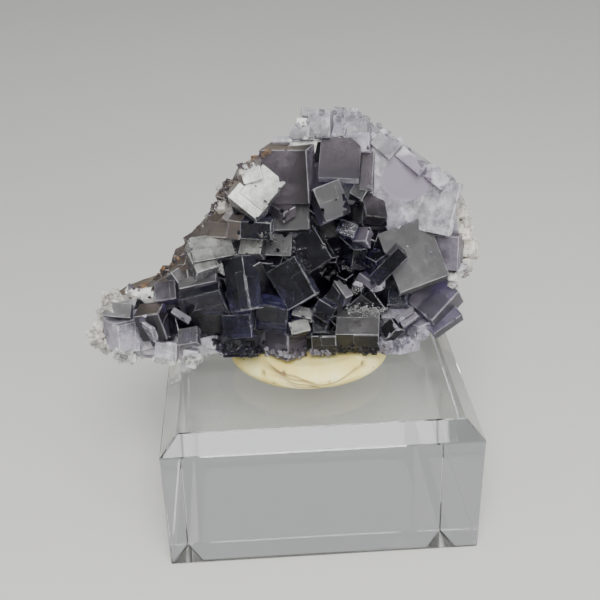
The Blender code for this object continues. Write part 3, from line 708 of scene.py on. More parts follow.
def box_arrays(boxes):
    """The corners, the edges and the sides of boxes, as three arrays."""
    corners = np.array([tuple(box[0]) for box in boxes])
    edges = np.array([[tuple(e) for e in box[1]] for box in boxes])
    return corners, edges, np.array([tuple(box[2]) for box in boxes])


def looks_of(names):
    """The colours, the frosts and the mattness of a list of finishes, as three arrays."""
    codes, frosts_and_sheens, matts = zip(*(FINISHES[name] for name in names))
    return np.array([colour(code) for code in codes]), np.array(frosts_and_sheens), np.array(matts)


def owners(mesh, boxes):
    """For each face: the box that its middle lies on, the axis it faces, whether on any, whether a bevel.

    A point's place in a box is its distances from the box's corner along the three edges. It lies on the
    box's skin where the largest of its distances past the sides, counted from the middle, is nothing.
    """
    centres = read_all(mesh.polygons, "center", 3) / MM
    corners, edges, sides = box_arrays(boxes)
    local = np.einsum("fbx,bax->fba", centres[:, None] - corners[None], edges)
    past = np.abs(local - sides / 2) - sides / 2
    skin = np.abs(past.max(axis=2))
    owner = skin.argmin(axis=1)
    rows = np.arange(len(centres))
    facing = past[rows, owner].argmax(axis=1)
    normals = read_all(mesh.polygons, "normal", 3)
    square = np.abs(np.einsum("fx,fx->f", normals, edges[owner, facing]))
    return owner, facing, skin[rows, owner] < EDGE_WEAR, square < BEVEL_TURN


def write_skin(mesh, skin, near, far, frost, matt):
    """Writes what the fluorite's material reads at each corner of each face."""
    skin = np.concatenate([skin, np.ones((len(skin), 1))], axis=1)
    for name, kind, field, values in (
        ("skin", "FLOAT_COLOR", "color", skin),
        ("near", "FLOAT_VECTOR", "vector", near),
        ("far", "FLOAT_VECTOR", "vector", far),
        ("frost", "FLOAT", "value", frost),
        ("matt", "FLOAT", "value", matt),
    ):
        attribute = mesh.attributes.new(name, kind, "CORNER")
        attribute.data.foreach_set(field, np.ascontiguousarray(values, dtype=np.float32).ravel())


def paint_crystals(made, boxes, finishes, rng):
    """Gives each face the finish of its crystal, and each point its place between the crystal's sides."""
    mesh = made.data
    owner, facing, owned, bevelled = owners(mesh, boxes)
    corners, edges, sides = box_arrays(boxes)
    names = [finish if isinstance(finish, tuple) else (finish,) * 3 for finish, _, _ in finishes]
    skins, frosts_and_sheens, matts = looks_of([name for three in names for name in three])
    skins, frosts_and_sheens, matts = skins.reshape(-1, 3, 3), frosts_and_sheens.reshape(-1, 3), matts.reshape(-1, 3)
    for row, (_, frost, _) in zip(frosts_and_sheens, finishes):
        row[:] = row if frost is None else frost

    centres = read_all(mesh.polygons, "center", 3)
    crust_skins, crust_frosts_and_sheens, crust_matts = looks_of(
        [finish_at(grid_of(Vector(centre) / MM), rng) for centre in centres])
    # The frost is partly real frost and partly a painted highlight on faces that mirror the key light
    face_skin = np.where(owned[:, None], skins[owner, facing], crust_skins)
    face_frost_and_sheen = np.where(owned, frosts_and_sheens[owner, facing], crust_frosts_and_sheens)
    face_matt = np.where(owned, matts[owner, facing], crust_matts)
    chance = np.random.default_rng(WEAR_SEED)
    # Painted highlight, partly wear: the bevels along the edges are made paler and more frosted
    wear_and_glint = owned & bevelled
    face_skin[wear_and_glint] += (colour(BEVEL_WORN_GLINT_COLOUR) - face_skin[wear_and_glint]) * BEVEL_WORN_GLINT_SHARE
    face_frost_and_sheen[wear_and_glint] += chance.uniform(*BEVEL_WORN_GLINT_FROST, wear_and_glint.sum())

    totals = read_all(mesh.polygons, "loop_total", 1, int)[:, 0]
    face_of = np.repeat(np.arange(len(totals)), totals)
    vertex_of = read_all(mesh.loops, "vertex_index", 1, int)[:, 0]
    points = read_all(mesh.vertices, "co", 3)[vertex_of] / MM
    box_of = owner[face_of]
    near = np.einsum("lx,lax->la", points - corners[box_of], edges[box_of])
    far = sides[box_of] - near
    plain = ~owned[face_of]
    fades = chance.normal(0, 1, (len(boxes), 3))
    fades *= FADE / np.linalg.norm(fades, axis=1)[:, None]
    for row, (_, _, fade) in zip(fades, finishes):
        row[:] = row if fade is None else fade
    fade = np.einsum("la,la->l", near / sides[box_of] - 0.5, fades[box_of])
    frost = face_frost_and_sheen[face_of] * np.clip(1 + np.where(plain, 0, fade), *FADE_LIMITS)
    near[plain] = far[plain] = sides.max()

    write_skin(mesh, face_skin[face_of], near, far, frost, face_matt[face_of])


def build_crystals():
    """The fluorite: the union of the crust and all the crystals' boxes, less the boxes of chips and pits."""
    rng = random.Random(CRUST_SEED)
    front = [seen_at(grid, 0.0) for grid in FRONT_EDGE]
    back = [seen_at(grid, -CRUST_DEPTH) for grid in BACK_EDGE]
    crust = crust_mesh(front, back, rng)
    placed = []
    for crystal in CRYSTALS.values():
        corner = seen_at(crystal.corner, crystal.proud)
        placed.append((corner, box_edges(corner, crystal.edges), crystal.size))
    small = filling_crystals(placed, rng) + rim_crystals(front, back, placed, rng)

    rng = random.Random(STEP_SEED)
    boxes = list(placed)
    wear = [EDGE_WEAR] * len(placed)
    finishes = [(crystal.finish, crystal.frost, crystal.fade) for crystal in CRYSTALS.values()]
    chips = []
    for name, box, finish in zip(CRYSTALS, placed, tuple(finishes)):
        steps = [] if name in WHOLE else grown_steps(box, rng)
        boxes += steps
        wear += [STEP_WEAR] * len(steps)
        finishes += [finish] * len(steps)
        chips += edge_chips(box, rng)
    boxes += small
    wear += [EDGE_WEAR] * len(small)
    for corner, edges, sides in small:
        middle = corner + box_diagonal(edges, sides) * 0.5
        finishes.append((finish_at(grid_of(middle), rng), None, None))

    combine(crust, "UNION", [box_mesh("crystal", box, wear_and_glint) for box, wear_and_glint in zip(boxes, wear)])
    for name, grid, size in PITS:
        chips.append(random_box(on_face(CRYSTALS[name], 2, grid), size, rng))
    combine(crust, "DIFFERENCE", [box_mesh("chip", box, 0.0) for box in chips])
    paint_crystals(crust, boxes, finishes, rng)
    return crust


UPPER_LEFT_RIM = ((128, 292), (163, 272), (188, 240), (215, 208), (238, 170), (262, 156))

# Crumbs of crystal along the rims: a path of grid squares, how many there are, how far they stray from
# the path, their least and largest size, and their finish
CRUMBS = (
    (((104, 350), (125, 357), (150, 361), (180, 363), (206, 358)), 210, 4, (0.35, 1.1), "white"),
    (((92, 330), (97, 342), (108, 352)), 60, 5, (0.4, 1.2), "cream"),
    (((100, 312), (108, 298), (128, 292)), 40, 5, (0.4, 1.1), "cream"),
    (UPPER_LEFT_RIM, 30, 6, (0.3, 0.9), "cream"),
    (UPPER_LEFT_RIM, 100, 5, (0.3, 1.0), "brown"),
    (((142, 288), (163, 272), (180, 258)), 14, 2, (0.3, 0.8), "rust"),
    (((246, 163), (262, 156), (270, 151)), 16, 2, (0.3, 0.8), "rust"),
    (((458, 198), (468, 222), (476, 248), (468, 268), (456, 286)), 45, 5, (0.3, 0.9), "cream"),
    (((296, 126), (320, 114), (345, 112), (368, 120), (398, 142), (425, 162), (450, 184)), 40, 3,
     (0.3, 0.9), "pale"),
    (((215, 350), (240, 348), (262, 352)), 60, 6, (0.4, 1.1), "dark"),
    (((262, 352), (300, 355), (330, 351)), 60, 3, (0.3, 0.9), "lilac"),
    (((384, 347), (404, 343), (425, 333)), 50, 5, (0.3, 0.9), "lilac"),
    (((215, 340), (240, 345), (262, 352), (340, 350), (380, 349)), 150, 5, (0.3, 0.9), "rough"),
    (((265, 232), (282, 248), (298, 255)), 70, 9, (0.2, 0.5), "grey"),
    (((350, 309), (370, 311), (390, 314)), 420, 7, (0.08, 0.24), "white"),
)
CRUMB_SEED = 31
CRUMB_SPREAD = (0.6, 1.3)
CRUMB_BREAK = 0.16
CRUMB_SINK = 0.3
CRUMB_FROST = (0.35, 1.0)


def crumb_places(rng, target):
    """Where the crumbs sit: along each path, where the line of sight first meets the target."""
    tree = BVHTree.FromObject(target, bpy.context.evaluated_depsgraph_get())
    places, sizes, finishes = [], [], []
    for path, count, stray, (least, largest), finish in CRUMBS:
        for along in rng.uniform(0, len(path) - 1, count):
            start = int(along)
            share = along - start
            here = np.array(path[start]) * (1 - share) + np.array(path[start + 1]) * share
            ray = (seen_at(here + rng.normal(0, stray / 2, 2), 0.0) - EYE).normalized()
            hit = tree.ray_cast(EYE * MM, ray)[0]
            size = least + (largest - least) * rng.uniform() ** 2
            if hit is not None:
                places.append(tuple(hit / MM + ray * (size * CRUMB_SINK)))
                sizes.append(size)
                finishes.append(finish)
    return np.array(places), np.array(sizes), finishes


def build_crumbs(crystals):
    """Broken crumbs: each is a box turned by a random unit quaternion, with its corners moved a little."""
    rng = np.random.default_rng(CRUMB_SEED)
    places, sizes, finishes = crumb_places(rng, crystals)
    count = len(places)
    quaternions = rng.normal(0, 1, (4, count))
    w, x, y, z = quaternions / np.linalg.norm(quaternions, axis=0)
    turn = np.array([
        [1 - 2 * (y * y + z * z), 2 * (x * y - z * w), 2 * (x * z + y * w)],
        [2 * (x * y + z * w), 1 - 2 * (x * x + z * z), 2 * (y * z - x * w)],
        [2 * (x * z - y * w), 2 * (y * z + x * w), 1 - 2 * (x * x + y * y)],
    ]).transpose(2, 0, 1)
    sides = rng.uniform(*CRUMB_SPREAD, (count, 1, 3))
    local = (BOX_BITS - 0.5) * sides + rng.uniform(-CRUMB_BREAK, CRUMB_BREAK, (count, 8, 3))
    points = places[:, None] + np.einsum("cij,cpj->cpi", turn, local * sizes[:, None, None])
    quads = np.array([(0, 1, 3, 2), (4, 6, 7, 5), (0, 4, 5, 1), (2, 3, 7, 6), (0, 2, 6, 4), (1, 5, 7, 3)])
    triangles = np.concatenate([quads[:, (0, 1, 2)], quads[:, (0, 2, 3)]])
    faces = (triangles + 8 * np.arange(count)[:, None, None]).reshape(-1, 3)
    crumbs = place_mesh("rim_crumbs", points.reshape(-1, 3), faces.tolist())
    skin, frost, matt = looks_of(finishes)
    frost *= rng.uniform(*CRUMB_FROST, count)
    skin, frost, matt = (np.repeat(values, triangles.size, axis=0) for values in (skin, frost, matt))
    deep = np.full((len(frost), 3), CRUST_DEPTH)
    write_skin(crumbs.data, skin, deep, deep, frost, matt)
    return crumbs


# Rock, putty and block

# The rock plate: its depth, how far behind the face it starts, its outline at each part of its depth as a
# share of the crust's outline, and its rings and points
ROCK_DEPTH = 8.5
ROCK_START = 7.6
ROCK_TAPER = ((0.0, 0.9), (0.12, 0.965), (0.4, 0.985), (0.72, 0.93), (0.92, 0.8), (1.0, 0.66))
ROCK_AROUND = 320
ROCK_ALONG = 46
ROCK_CAP = 26
ROCK_HOLE = 0.05

# The rock's noises, as (height, width, seed): the broad ones are cut into this many flats a unit
ROCK_BROAD = ((1.0, 5.5, 3), (0.5, 2.6, 4))
ROCK_FINE = ((0.22, 0.9, 5), (0.08, 0.4, 6))
ROCK_FLATS = 3
ROCK_FLAT_SHARE = 0.7
ROCK_HEIGHT = 0.6

# How far the whole rock is drawn in, and how fast that grows from the middle of its front outwards
ROCK_SUNK = 0.75
ROCK_SPREAD = 1.6


def resampled(loop, count):
    """Points spaced evenly along a closed loop of straight lines."""
    closed = np.concatenate([loop, loop[:1]])
    lengths = np.concatenate([[0.0], np.cumsum(np.linalg.norm(np.diff(closed, axis=0), axis=1))])
    stops = np.linspace(0, lengths[-1], count, endpoint=False)
    return np.stack([np.interp(stops, lengths, closed[:, i]) for i in range(3)], axis=1)


def build_rock():
    """The rock plate: rings from the crust's back to its own back, then drawn in to the middle of the back.

    Each point is its place on the outline times the taper at its depth, moved inwards by broad, middling
    and fine lattice noise. The broad noise is cut into flats, as rock that breaks along planes is.
    """
    outline = resampled(np.array([tuple(seen_at(grid, -CRUST_DEPTH)) for grid in BACK_EDGE]), ROCK_AROUND)
    middle = np.array(tuple(seen_at(ROCK_MIDDLE, -CRUST_DEPTH)))
    normal = np.array(tuple(FACE_NORMAL))
    out = outline - middle
    depths, shares = np.array(ROCK_TAPER).T
    along = np.linspace(0, 1, ROCK_ALONG)
    front = np.linspace(ROCK_HOLE, 1, ROCK_CAP, endpoint=False)
    share = np.concatenate([front * shares[0], np.interp(along, depths, shares), front[::-1] * shares[-1]])
    depth = np.concatenate([np.zeros(ROCK_CAP), along, np.ones(ROCK_CAP)])
    start = ROCK_START - CRUST_DEPTH
    rings = middle + out * share[:, None, None] - normal * (start + depth * ROCK_DEPTH)[:, None, None]
    broad = layered_noise(rings, ROCK_BROAD)
    flats = np.round(broad * ROCK_FLATS) / ROCK_FLATS
    broken = ROCK_FLAT_SHARE * flats + (1 - ROCK_FLAT_SHARE) * broad
    inward = -out / np.linalg.norm(out, axis=1)[:, None]
    sunk = (ROCK_SUNK + ROCK_HEIGHT * broken + layered_noise(rings, ROCK_FINE))[..., None]
    sideways = np.clip(share * ROCK_SPREAD, 0, 1)[:, None, None]
    return ring_mesh("rock_plate", rings + inward * sunk * sideways + normal * sunk * depth[:, None, None])


# Folds in the putty's front, as (across, height, slope, reach, depth), and pits, as (across, height, size)
PUTTY_FOLDS = (
    (-3.0, 27.3, -0.22, 5.2, 0.36), (-2.2, 26.6, -0.24, 4.6, 0.32), (-4.2, 27.9, -0.2, 4.0, 0.26),
    (-1.4, 26.0, -0.2, 3.6, 0.24), (5.0, 27.2, 0.3, 3.2, 0.22),
)
PUTTY_PITS = ((-8.4, 27.6, 0.4), (-5.0, 28.2, 0.32), (8.3, 28.1, 0.34), (2.4, 26.9, 0.22), (-6.6, 26.4, 0.22))
FOLD_WIDTH = 0.2
PUTTY_AROUND = 300
PUTTY_ALONG = 90

# A fold's line waves by this much, this fast, and folds come in over this much of the front
FOLD_WAVE = 0.12
FOLD_WAVE_RATE = 1.3
FOLD_FRONT = 4.0

# The putty's slow noises, as (height, width, seed), how far it is drawn in for them, the gap between its
# lowest ring and its foot, and the rings of its level top and foot
PUTTY_SWELL = ((0.26, 6.0, 11), (0.1, 2.2, 12))
PUTTY_SHRINK = 0.22
PUTTY_GAP = 0.02
PUTTY_CAP = 12
PUTTY_HOLE = 0.1


def build_putty():
    """The putty: a flattened ball whose rings run from its level top to its level foot.

    A ring at height z is the ball's ellipse there, that is its radii times the root of 1 - (height / radius)
    squared, swollen by slow lattice noise. Folds are grooves exp(-(distance / width) squared) about slanting
    lines on the front, and pits are round dents of the same form.
    """
    centre, radii = np.array(PUTTY_CENTRE), np.array(PUTTY_RADII)
    foot_level, high = PUTTY_LEVELS
    low = foot_level + PUTTY_GAP
    turn = np.linspace(0, math.tau, PUTTY_AROUND, endpoint=False)
    height = np.linspace(high, low, PUTTY_ALONG)
    reach = np.sqrt(1 - ((height - centre[2]) / radii[2]) ** 2)
    side = np.stack([np.cos(turn), np.sin(turn)], axis=1) * radii[:2]
    rings = np.empty((PUTTY_ALONG, PUTTY_AROUND, 3))
    rings[..., :2] = centre[:2] + side * reach[:, None, None]
    rings[..., 2] = height[:, None]
    swell = layered_noise(rings, PUTTY_SWELL) - PUTTY_SHRINK
    front = np.clip(-(rings[..., 1] - centre[1]) / FOLD_FRONT, 0, 1)
    fold_pit_shade = np.zeros(swell.shape)
    for across, level, slope, length, depth in PUTTY_FOLDS:
        x = rings[..., 0] - centre[0] - across
        line = level + slope * x + FOLD_WAVE * np.sin(x * FOLD_WAVE_RATE)
        groove = np.exp(-((rings[..., 2] - line) / FOLD_WIDTH) ** 2) * np.exp(-(x / length) ** 4)
        swell -= depth * groove * front
        fold_pit_shade += groove * front
    for across, level, size in PUTTY_PITS:
        away = (rings[..., 0] - centre[0] - across) ** 2 + (rings[..., 2] - level) ** 2
        dent = np.exp(-away / size ** 2) * front
        swell -= size * dent
        fold_pit_shade += dent
    out = rings[..., :2] - centre[:2]
    rings[..., :2] += out / np.linalg.norm(out, axis=2)[..., None] * swell[..., None]
    caps = np.linspace(PUTTY_HOLE, 1, PUTTY_CAP, endpoint=False)[:, None, None]
    top, foot = (
        centre + (ring - centre) * (1, 1, 0) * shares + (0, 0, level - centre[2])
        for ring, shares, level in ((rings[0], caps, high), (rings[-1], caps[::-1], low))
    )
    made = ring_mesh("putty_lump", np.concatenate([top, rings, foot]))
    # The folds and pits are kept on each point for the material, which paints shade in them
    values = np.zeros(len(made.data.vertices), dtype=np.float32)
    values[top.size // 3:(top.size + rings.size) // 3] = fold_pit_shade.ravel()
    made.data.attributes.new("fold_pit_shade", "FLOAT", "POINT").data.foreach_set("value", values)
    return made


# The eased turns at the chamfer: how far one reaches up or in, and how far up the slant it ends, as shares of
# the ease and of that reach. Each corner's arc has this many points.
EASE_REACH = 0.7
EASE_RISE = 1.4
CORNER_POINTS = 7


def build_block():
    """The clear block: a square outline with rounded corners, carried up a profile of (height, inset).

    The profile is the block's side and chamfer, with a flat of the ease's width at each turn.
    """
    half, ease, top, cut = BLOCK_SIDE / 2, BLOCK_EASE, BLOCK_HEIGHT, BLOCK_CHAMFER
    slant = ease * EASE_REACH
    profile = (
        (0.0, half / 2), (0.0, ease), (ease, 0.0),
        (top - cut - slant, 0.0), (top - cut + slant, slant * EASE_RISE),
        (top - slant, cut - slant), (top, cut + slant), (top, half / 2),
    )
    turns = np.linspace(0, math.pi / 2, CORNER_POINTS)
    arc = np.stack([np.cos(turns), np.sin(turns)], axis=1)
    rings = []
    for height, inset in profile:
        reach = half - inset
        corners = []
        for quarter in range(4):
            angle = quarter * math.pi / 2
            turned = arc @ np.array([[math.cos(angle), math.sin(angle)], [-math.sin(angle), math.cos(angle)]])
            diagonal = np.array([math.cos(angle + math.pi / 4), math.sin(angle + math.pi / 4)]) * math.sqrt(2)
            corners.append(diagonal * (reach - BLOCK_CORNER) + turned * BLOCK_CORNER)
        outline = np.concatenate(corners)
        rings.append(np.concatenate([outline, np.full((len(outline), 1), height)], axis=1))
    return ring_mesh("clear_block", np.array(rings))


# Materials


class Link:
    """A node's output, on which Python's operators add Math nodes."""

    def __init__(self, recipe, socket):
        self.recipe = recipe
        self.socket = socket

    def __add__(self, other):
        return self.recipe.maths("ADD", self, other)

    def __sub__(self, other):
        return self.recipe.maths("SUBTRACT", self, other)

    def __rsub__(self, other):
        return self.recipe.maths("SUBTRACT", other, self)

    def __mul__(self, other):
        return self.recipe.maths("MULTIPLY", self, other)

    __radd__ = __add__
    __rmul__ = __mul__


class Recipe:
    """A material and the nodes that it is made of."""

    def __init__(self, name):
        self.material = bpy.data.materials.new(name)
        self.material.use_nodes = True
        self.tree = self.material.node_tree
        self.tree.nodes.clear()

    def node(self, kind, inputs=None, output=0, stops=None, **settings):
        """A node of a type, with its settings made first, and its sockets' values or links."""
        made = self.tree.nodes.new("ShaderNode" + kind)
        for name, value in settings.items():
            setattr(made, name, value)
        if stops:
            ramp = made.color_ramp
            for place, _ in stops[1:-1]:
                ramp.elements.new(place)
            for element, (place, code) in zip(ramp.elements, stops):
                element.position = place
                element.color = opaque(code)
        for name, value in (inputs or {}).items():
            if isinstance(value, Link):
                self.tree.links.new(value.socket, made.inputs[name])
            else:
                made.inputs[name].default_value = value
        return Link(self, made.outputs[output])

    def maths(self, operation, first, second=0.0):
        """One Math node."""
        return self.node("Math", {0: first, 1: second}, operation=operation)

    def clamped(self, value):
        """A value kept between 0 and 1."""
        return self.node("Clamp", {"Value": value})

    def step(self, value, low, high):
        """From 0 to 1, eased, as a value goes from low to high."""
        inputs = {"Value": value, "From Min": low, "From Max": high}
        return self.node("MapRange", inputs, interpolation_type="SMOOTHSTEP")

    def blend(self, share, first, second):
        """A colour between two, by a share: sockets 6 and 7 of the node are its two colours."""
        inputs = {0: share, 6: first, 7: second}
        return self.node("Mix", inputs, output=2, data_type="RGBA")

    def place(self):
        """The place on the piece, in millimetres."""
        place = self.node("TexCoord", output=3)
        return self.node("VectorMath", {0: place, "Scale": 1 / MM}, operation="SCALE")

    def noise(self, place, width, detail, rough=0.5):
        """Noise whose lumps are about this wide, in millimetres."""
        inputs = {"Vector": place, "Scale": 1 / width, "Detail": detail, "Roughness": rough}
        return self.node("TexNoise", inputs)

    def attribute(self, name, output=2):
        """A value that the mesh holds: colour is output 0, vector 1 and number 2."""
        return self.node("Attribute", attribute_name=name, output=output)

    def bump(self, height, distance):
        """A Bump node whose height of 1 is this many millimetres."""
        return self.node("Bump", {"Height": height, "Distance": distance * MM, "Strength": 1.0})

    def principled(self, **inputs):
        """A Principled shader; a double underscore in a name stands for a space."""
        return self.node("BsdfPrincipled", {name.replace("__", " "): value for name, value in inputs.items()})

    def output(self, surface, volume=None):
        """Ends the material."""
        inputs = {"Surface": surface}
        if volume:
            inputs["Volume"] = volume
        end = self.tree.nodes.new("ShaderNodeOutputMaterial")
        for name, value in inputs.items():
            self.tree.links.new(value.socket, end.inputs[name])
        return self.material


def mixed(layers, shares):
    """The sum of the layers that are named, each times its share."""
    return sum(layers[name] * share for name, share in shares.items())


FLUORITE_IOR = 1.434
ACRYLIC_IOR = 1.491
DULL_IOR = 1.5

# What a millimetre of fluorite takes away, as a density and the colour that it leaves most of
FLUORITE_DENSITY = 0.22
FLUORITE_LEAVES = (0.1, 0.0, 0.38, 1.0)

# Below, a noise is its width in millimetres, its detail and its roughness, and an edge is the two values
# between which a step rises from 0 to 1. The fluorite's noises:
CLOUD = (3.0, 4.0)
GRAIN = (0.5, 4.0, 0.6)
RAGGED = (0.9, 3.0)
MOTTLE = (1.3, 6.0, 0.7)
MOTTLE_EDGE = (0.3, 0.7)
FLECK = (0.2, 2.0)
FLECK_EDGE = (0.58, 0.7)

# The worn line along a crystal's edges, in millimetres from the edge, and where it breaks off. The line is
# pale: partly wear, partly a painted highlight along the edges.
WORN_GLINT_EDGE = (0.02, 0.11)
WORN_GLINT_STRAY = 0.16
WORN_GLINT_BREAK = (0.42, 0.66)
WORN_GLINT_COLOUR = "c9c9cc"
WORN_GLINT_SHARE = 0.5

# Growth bands alongside the edges: the gap between them and how far it strays with the cloud
BAND_GAP = 0.35
BAND_STRAY = 0.5
BAND_EDGE = (0.2, 0.35)

# The smooth lilac patch on the large frosty plate: its middle, where it ends, how much of its colour shows
# and how much of the relief it smooths away
WINDOW_MIDDLE = tuple(seen_at((407, 176), 0.0))
WINDOW_EDGE = (3.4, 4.1)
WINDOW_STRAY = 1.8
WINDOW_COLOUR = "8d8594"
WINDOW_SHARE = 0.9
WINDOW_CALM = 0.8

# What makes up each value of the skin: the share of each layer, of which base is 1 all over
FROST_MIX = {"base": 0.45, "cloud": 1.1}
FROST_UNEVEN = {"base": -0.22, "bands": 0.06, "mottle": 0.3, "grain": 0.12}
FROST_ADDED = {"wear_and_glint": 0.25, "window": 0.4}
SHADE_UNEVEN = {"base": -0.62, "mottle": 0.45, "fleck": 0.4, "cloud": 0.7}
RELIEF_MIX = {"grain": 0.5, "bands": 0.12, "ragged": 0.4, "mottle": 0.5}
RELIEF_DEPTH = 0.04
CLEAR_ROUGHNESS = {"grain": 0.12, "matt": 0.5, "mottle": 0.06}
FROSTED_ROUGHNESS = {"base": 0.04, "cloud": 0.25, "matt": 0.4, "mottle": 0.28}

# The tint of the crystal itself, and its share where the skin is clear
INNER_COLOUR = (0.7, 0.66, 0.92, 1.0)
INNER_SHARE = 0.6


def fluorite():
    """Clear violet crystal under a skin that is frosted on some faces, pale along edges and finely etched.
    The pale edges are partly wear and partly a painted highlight; the thick frost on faces that mirror the
    key light is partly a painted highlight too.
    """
    r = Recipe("fluorite")
    place = r.place()
    cloud, grain, ragged = (r.noise(place, *noise) for noise in (CLOUD, GRAIN, RAGGED))
    mottle = r.step(r.noise(place, *MOTTLE), *MOTTLE_EDGE)
    fleck = r.step(r.noise(place, *FLECK), *FLECK_EDGE)

    # The distance to the nearest edge is the second smallest of the three to the crystal's sides
    between = r.node("VectorMath", {0: r.attribute("near", 1), 1: r.attribute("far", 1)}, operation="MINIMUM")
    sides = [r.node("SeparateXYZ", {0: between}, output=i) for i in range(3)]
    low = r.maths("MINIMUM", sides[0], sides[1])
    high = r.maths("MAXIMUM", sides[0], sides[1])
    edge = r.maths("MAXIMUM", low, r.maths("MINIMUM", high, sides[2]))
    # Painted highlight, partly wear: a broken pale line along each crystal's edges
    wear_and_glint = (1 - r.step(edge + (grain - 0.5) * WORN_GLINT_STRAY, *WORN_GLINT_EDGE)) * r.step(ragged, *WORN_GLINT_BREAK)
    bands = r.step(r.maths("PINGPONG", edge + cloud * BAND_STRAY, BAND_GAP), *BAND_EDGE)

    window = r.node("VectorMath", {0: place, 1: WINDOW_MIDDLE}, output=1, operation="DISTANCE")
    window = 1 - r.step(window + (cloud - 0.5) * WINDOW_STRAY, *WINDOW_EDGE)
    outside = 1 - window
    layers = {
        "base": 1.0, "cloud": cloud, "grain": grain, "ragged": ragged, "mottle": mottle, "fleck": fleck,
        "wear_and_glint": wear_and_glint, "bands": bands, "window": window, "matt": r.attribute("matt"),
    }

    thick = mixed(layers, FROST_MIX) + mixed(layers, FROST_UNEVEN) * outside
    # The frost here is partly real frost and partly a painted highlight, on faces that mirror the key light
    # and along the edges
    frost = r.attribute("frost") * thick + mixed(layers, FROST_ADDED)
    skin = r.blend(window * WINDOW_SHARE, r.attribute("skin", 0), opaque(WINDOW_COLOUR))
    # The pale edge line, partly wear and partly a painted highlight, lightens the skin here
    skin = r.blend(r.clamped(wear_and_glint * WORN_GLINT_SHARE), skin, opaque(WORN_GLINT_COLOUR))
    shade = mixed(layers, SHADE_UNEVEN) * outside + 1
    skin = r.node("VectorMath", {0: skin, "Scale": shade}, operation="SCALE")
    normal = r.bump(mixed(layers, RELIEF_MIX) * (1 - window * WINDOW_CALM), RELIEF_DEPTH)
    clear = r.principled(
        Base__Color=r.blend(INNER_SHARE, skin, INNER_COLOUR),
        Roughness=mixed(layers, CLEAR_ROUGHNESS),
        IOR=FLUORITE_IOR,
        Transmission__Weight=1.0,
        Normal=normal,
    )
    frosted = r.principled(
        Base__Color=skin,
        Roughness=mixed(layers, FROSTED_ROUGHNESS),
        IOR=FLUORITE_IOR,
        Transmission__Weight=0.1,
        Subsurface__Weight=0.6,
        Subsurface__Scale=1.0 * MM,
        Subsurface__Radius=(1.0, 0.95, 1.0),
        Normal=normal,
    )
    surface = r.node("MixShader", {0: r.clamped(frost), 1: clear, 2: frosted})
    volume = r.node("VolumeAbsorption", {"Color": FLUORITE_LEAVES, "Density": FLUORITE_DENSITY / MM})
    return r.output(surface, volume)


# The rock's tones and noises, its rust and the pale crumbs of crystal in it
STONE_TONES = ((0.25, "2e2a25"), (0.45, "554d44"), (0.6, "786e60"), (0.8, "a39a8a"))
STONE_BROAD = (5.0, 5.0, 0.6)
STONE_FINE = (0.7, 5.0, 0.7)
STONE_RELIEF = {"broad": 1.0, "fine": 0.5, "pale": 0.3}
STONE_RELIEF_DEPTH = 0.35
STONE_ROUGHNESS = {"base": 0.9, "pale": -0.45}
RUST = (4.5, 6.0, 0.7)
RUST_EDGE = (0.52, 0.68)
RUST_COLOUR = "6f4a33"
RUST_SHARE = 0.6
STONE_CLUSTERS = (3.0, 4.0, 0.6)
CLUSTER_EDGE = (0.54, 0.64)
PALE_SCALE = 1.6
PALE_EDGE = (0.12, 0.34)
PALE_STRAY = 0.5
PALE_COLOUR = "b9b1a4"
PALE_SHARE = 0.7


def rock():
    """Brown-grey rock with rusty patches and pale crumbs of crystal."""
    r = Recipe("rock")
    place = r.place()
    broad = r.noise(place, *STONE_BROAD)
    fine = r.noise(place, *STONE_FINE)
    rust = r.step(r.noise(place, *RUST), *RUST_EDGE)
    base = r.node("ValToRGB", {0: (broad + fine) * 0.5}, stops=STONE_TONES)
    base = r.blend(rust * RUST_SHARE, base, opaque(RUST_COLOUR))
    crumbs = r.node("TexVoronoi", {"Vector": place, "Scale": PALE_SCALE})
    clusters = r.step(r.noise(place, *STONE_CLUSTERS), *CLUSTER_EDGE)
    pale = (1 - r.step(crumbs + (fine - 0.5) * PALE_STRAY, *PALE_EDGE)) * clusters
    base = r.blend(pale * PALE_SHARE, base, opaque(PALE_COLOUR))
    layers = {"base": 1.0, "broad": broad, "fine": fine, "pale": pale}
    normal = r.bump(mixed(layers, STONE_RELIEF), STONE_RELIEF_DEPTH)
    roughness = mixed(layers, STONE_ROUGHNESS)
    return r.output(r.principled(Base__Color=base, Roughness=roughness, IOR=DULL_IOR, Normal=normal))


# The putty's tones and noises, the painted brown shade in its folds and pits, and the specks pressed into it
PUTTY_TONES = ((0.3, "f4dc80"), (0.55, "fff0a0"), (0.75, "fff8c4"))
SMEAR = (4.0, 4.0, 0.55)
PUTTY_GRAIN = (0.6, 4.0, 0.6)
PUTTY_ROUGHNESS = {"base": 0.34, "fine": 0.25}
PUTTY_RELIEF = {"smear": 1.0, "fine": 0.3}
PUTTY_RELIEF_DEPTH = 0.12
FOLD_SHADE_COLOUR = "8f7a50"
FOLD_SHADE_SHARE = 0.75
SPECK_SCALE = 0.55
SPECK_EDGE = (0.05, 0.09)
SPECK_COLOUR = "4a4034"


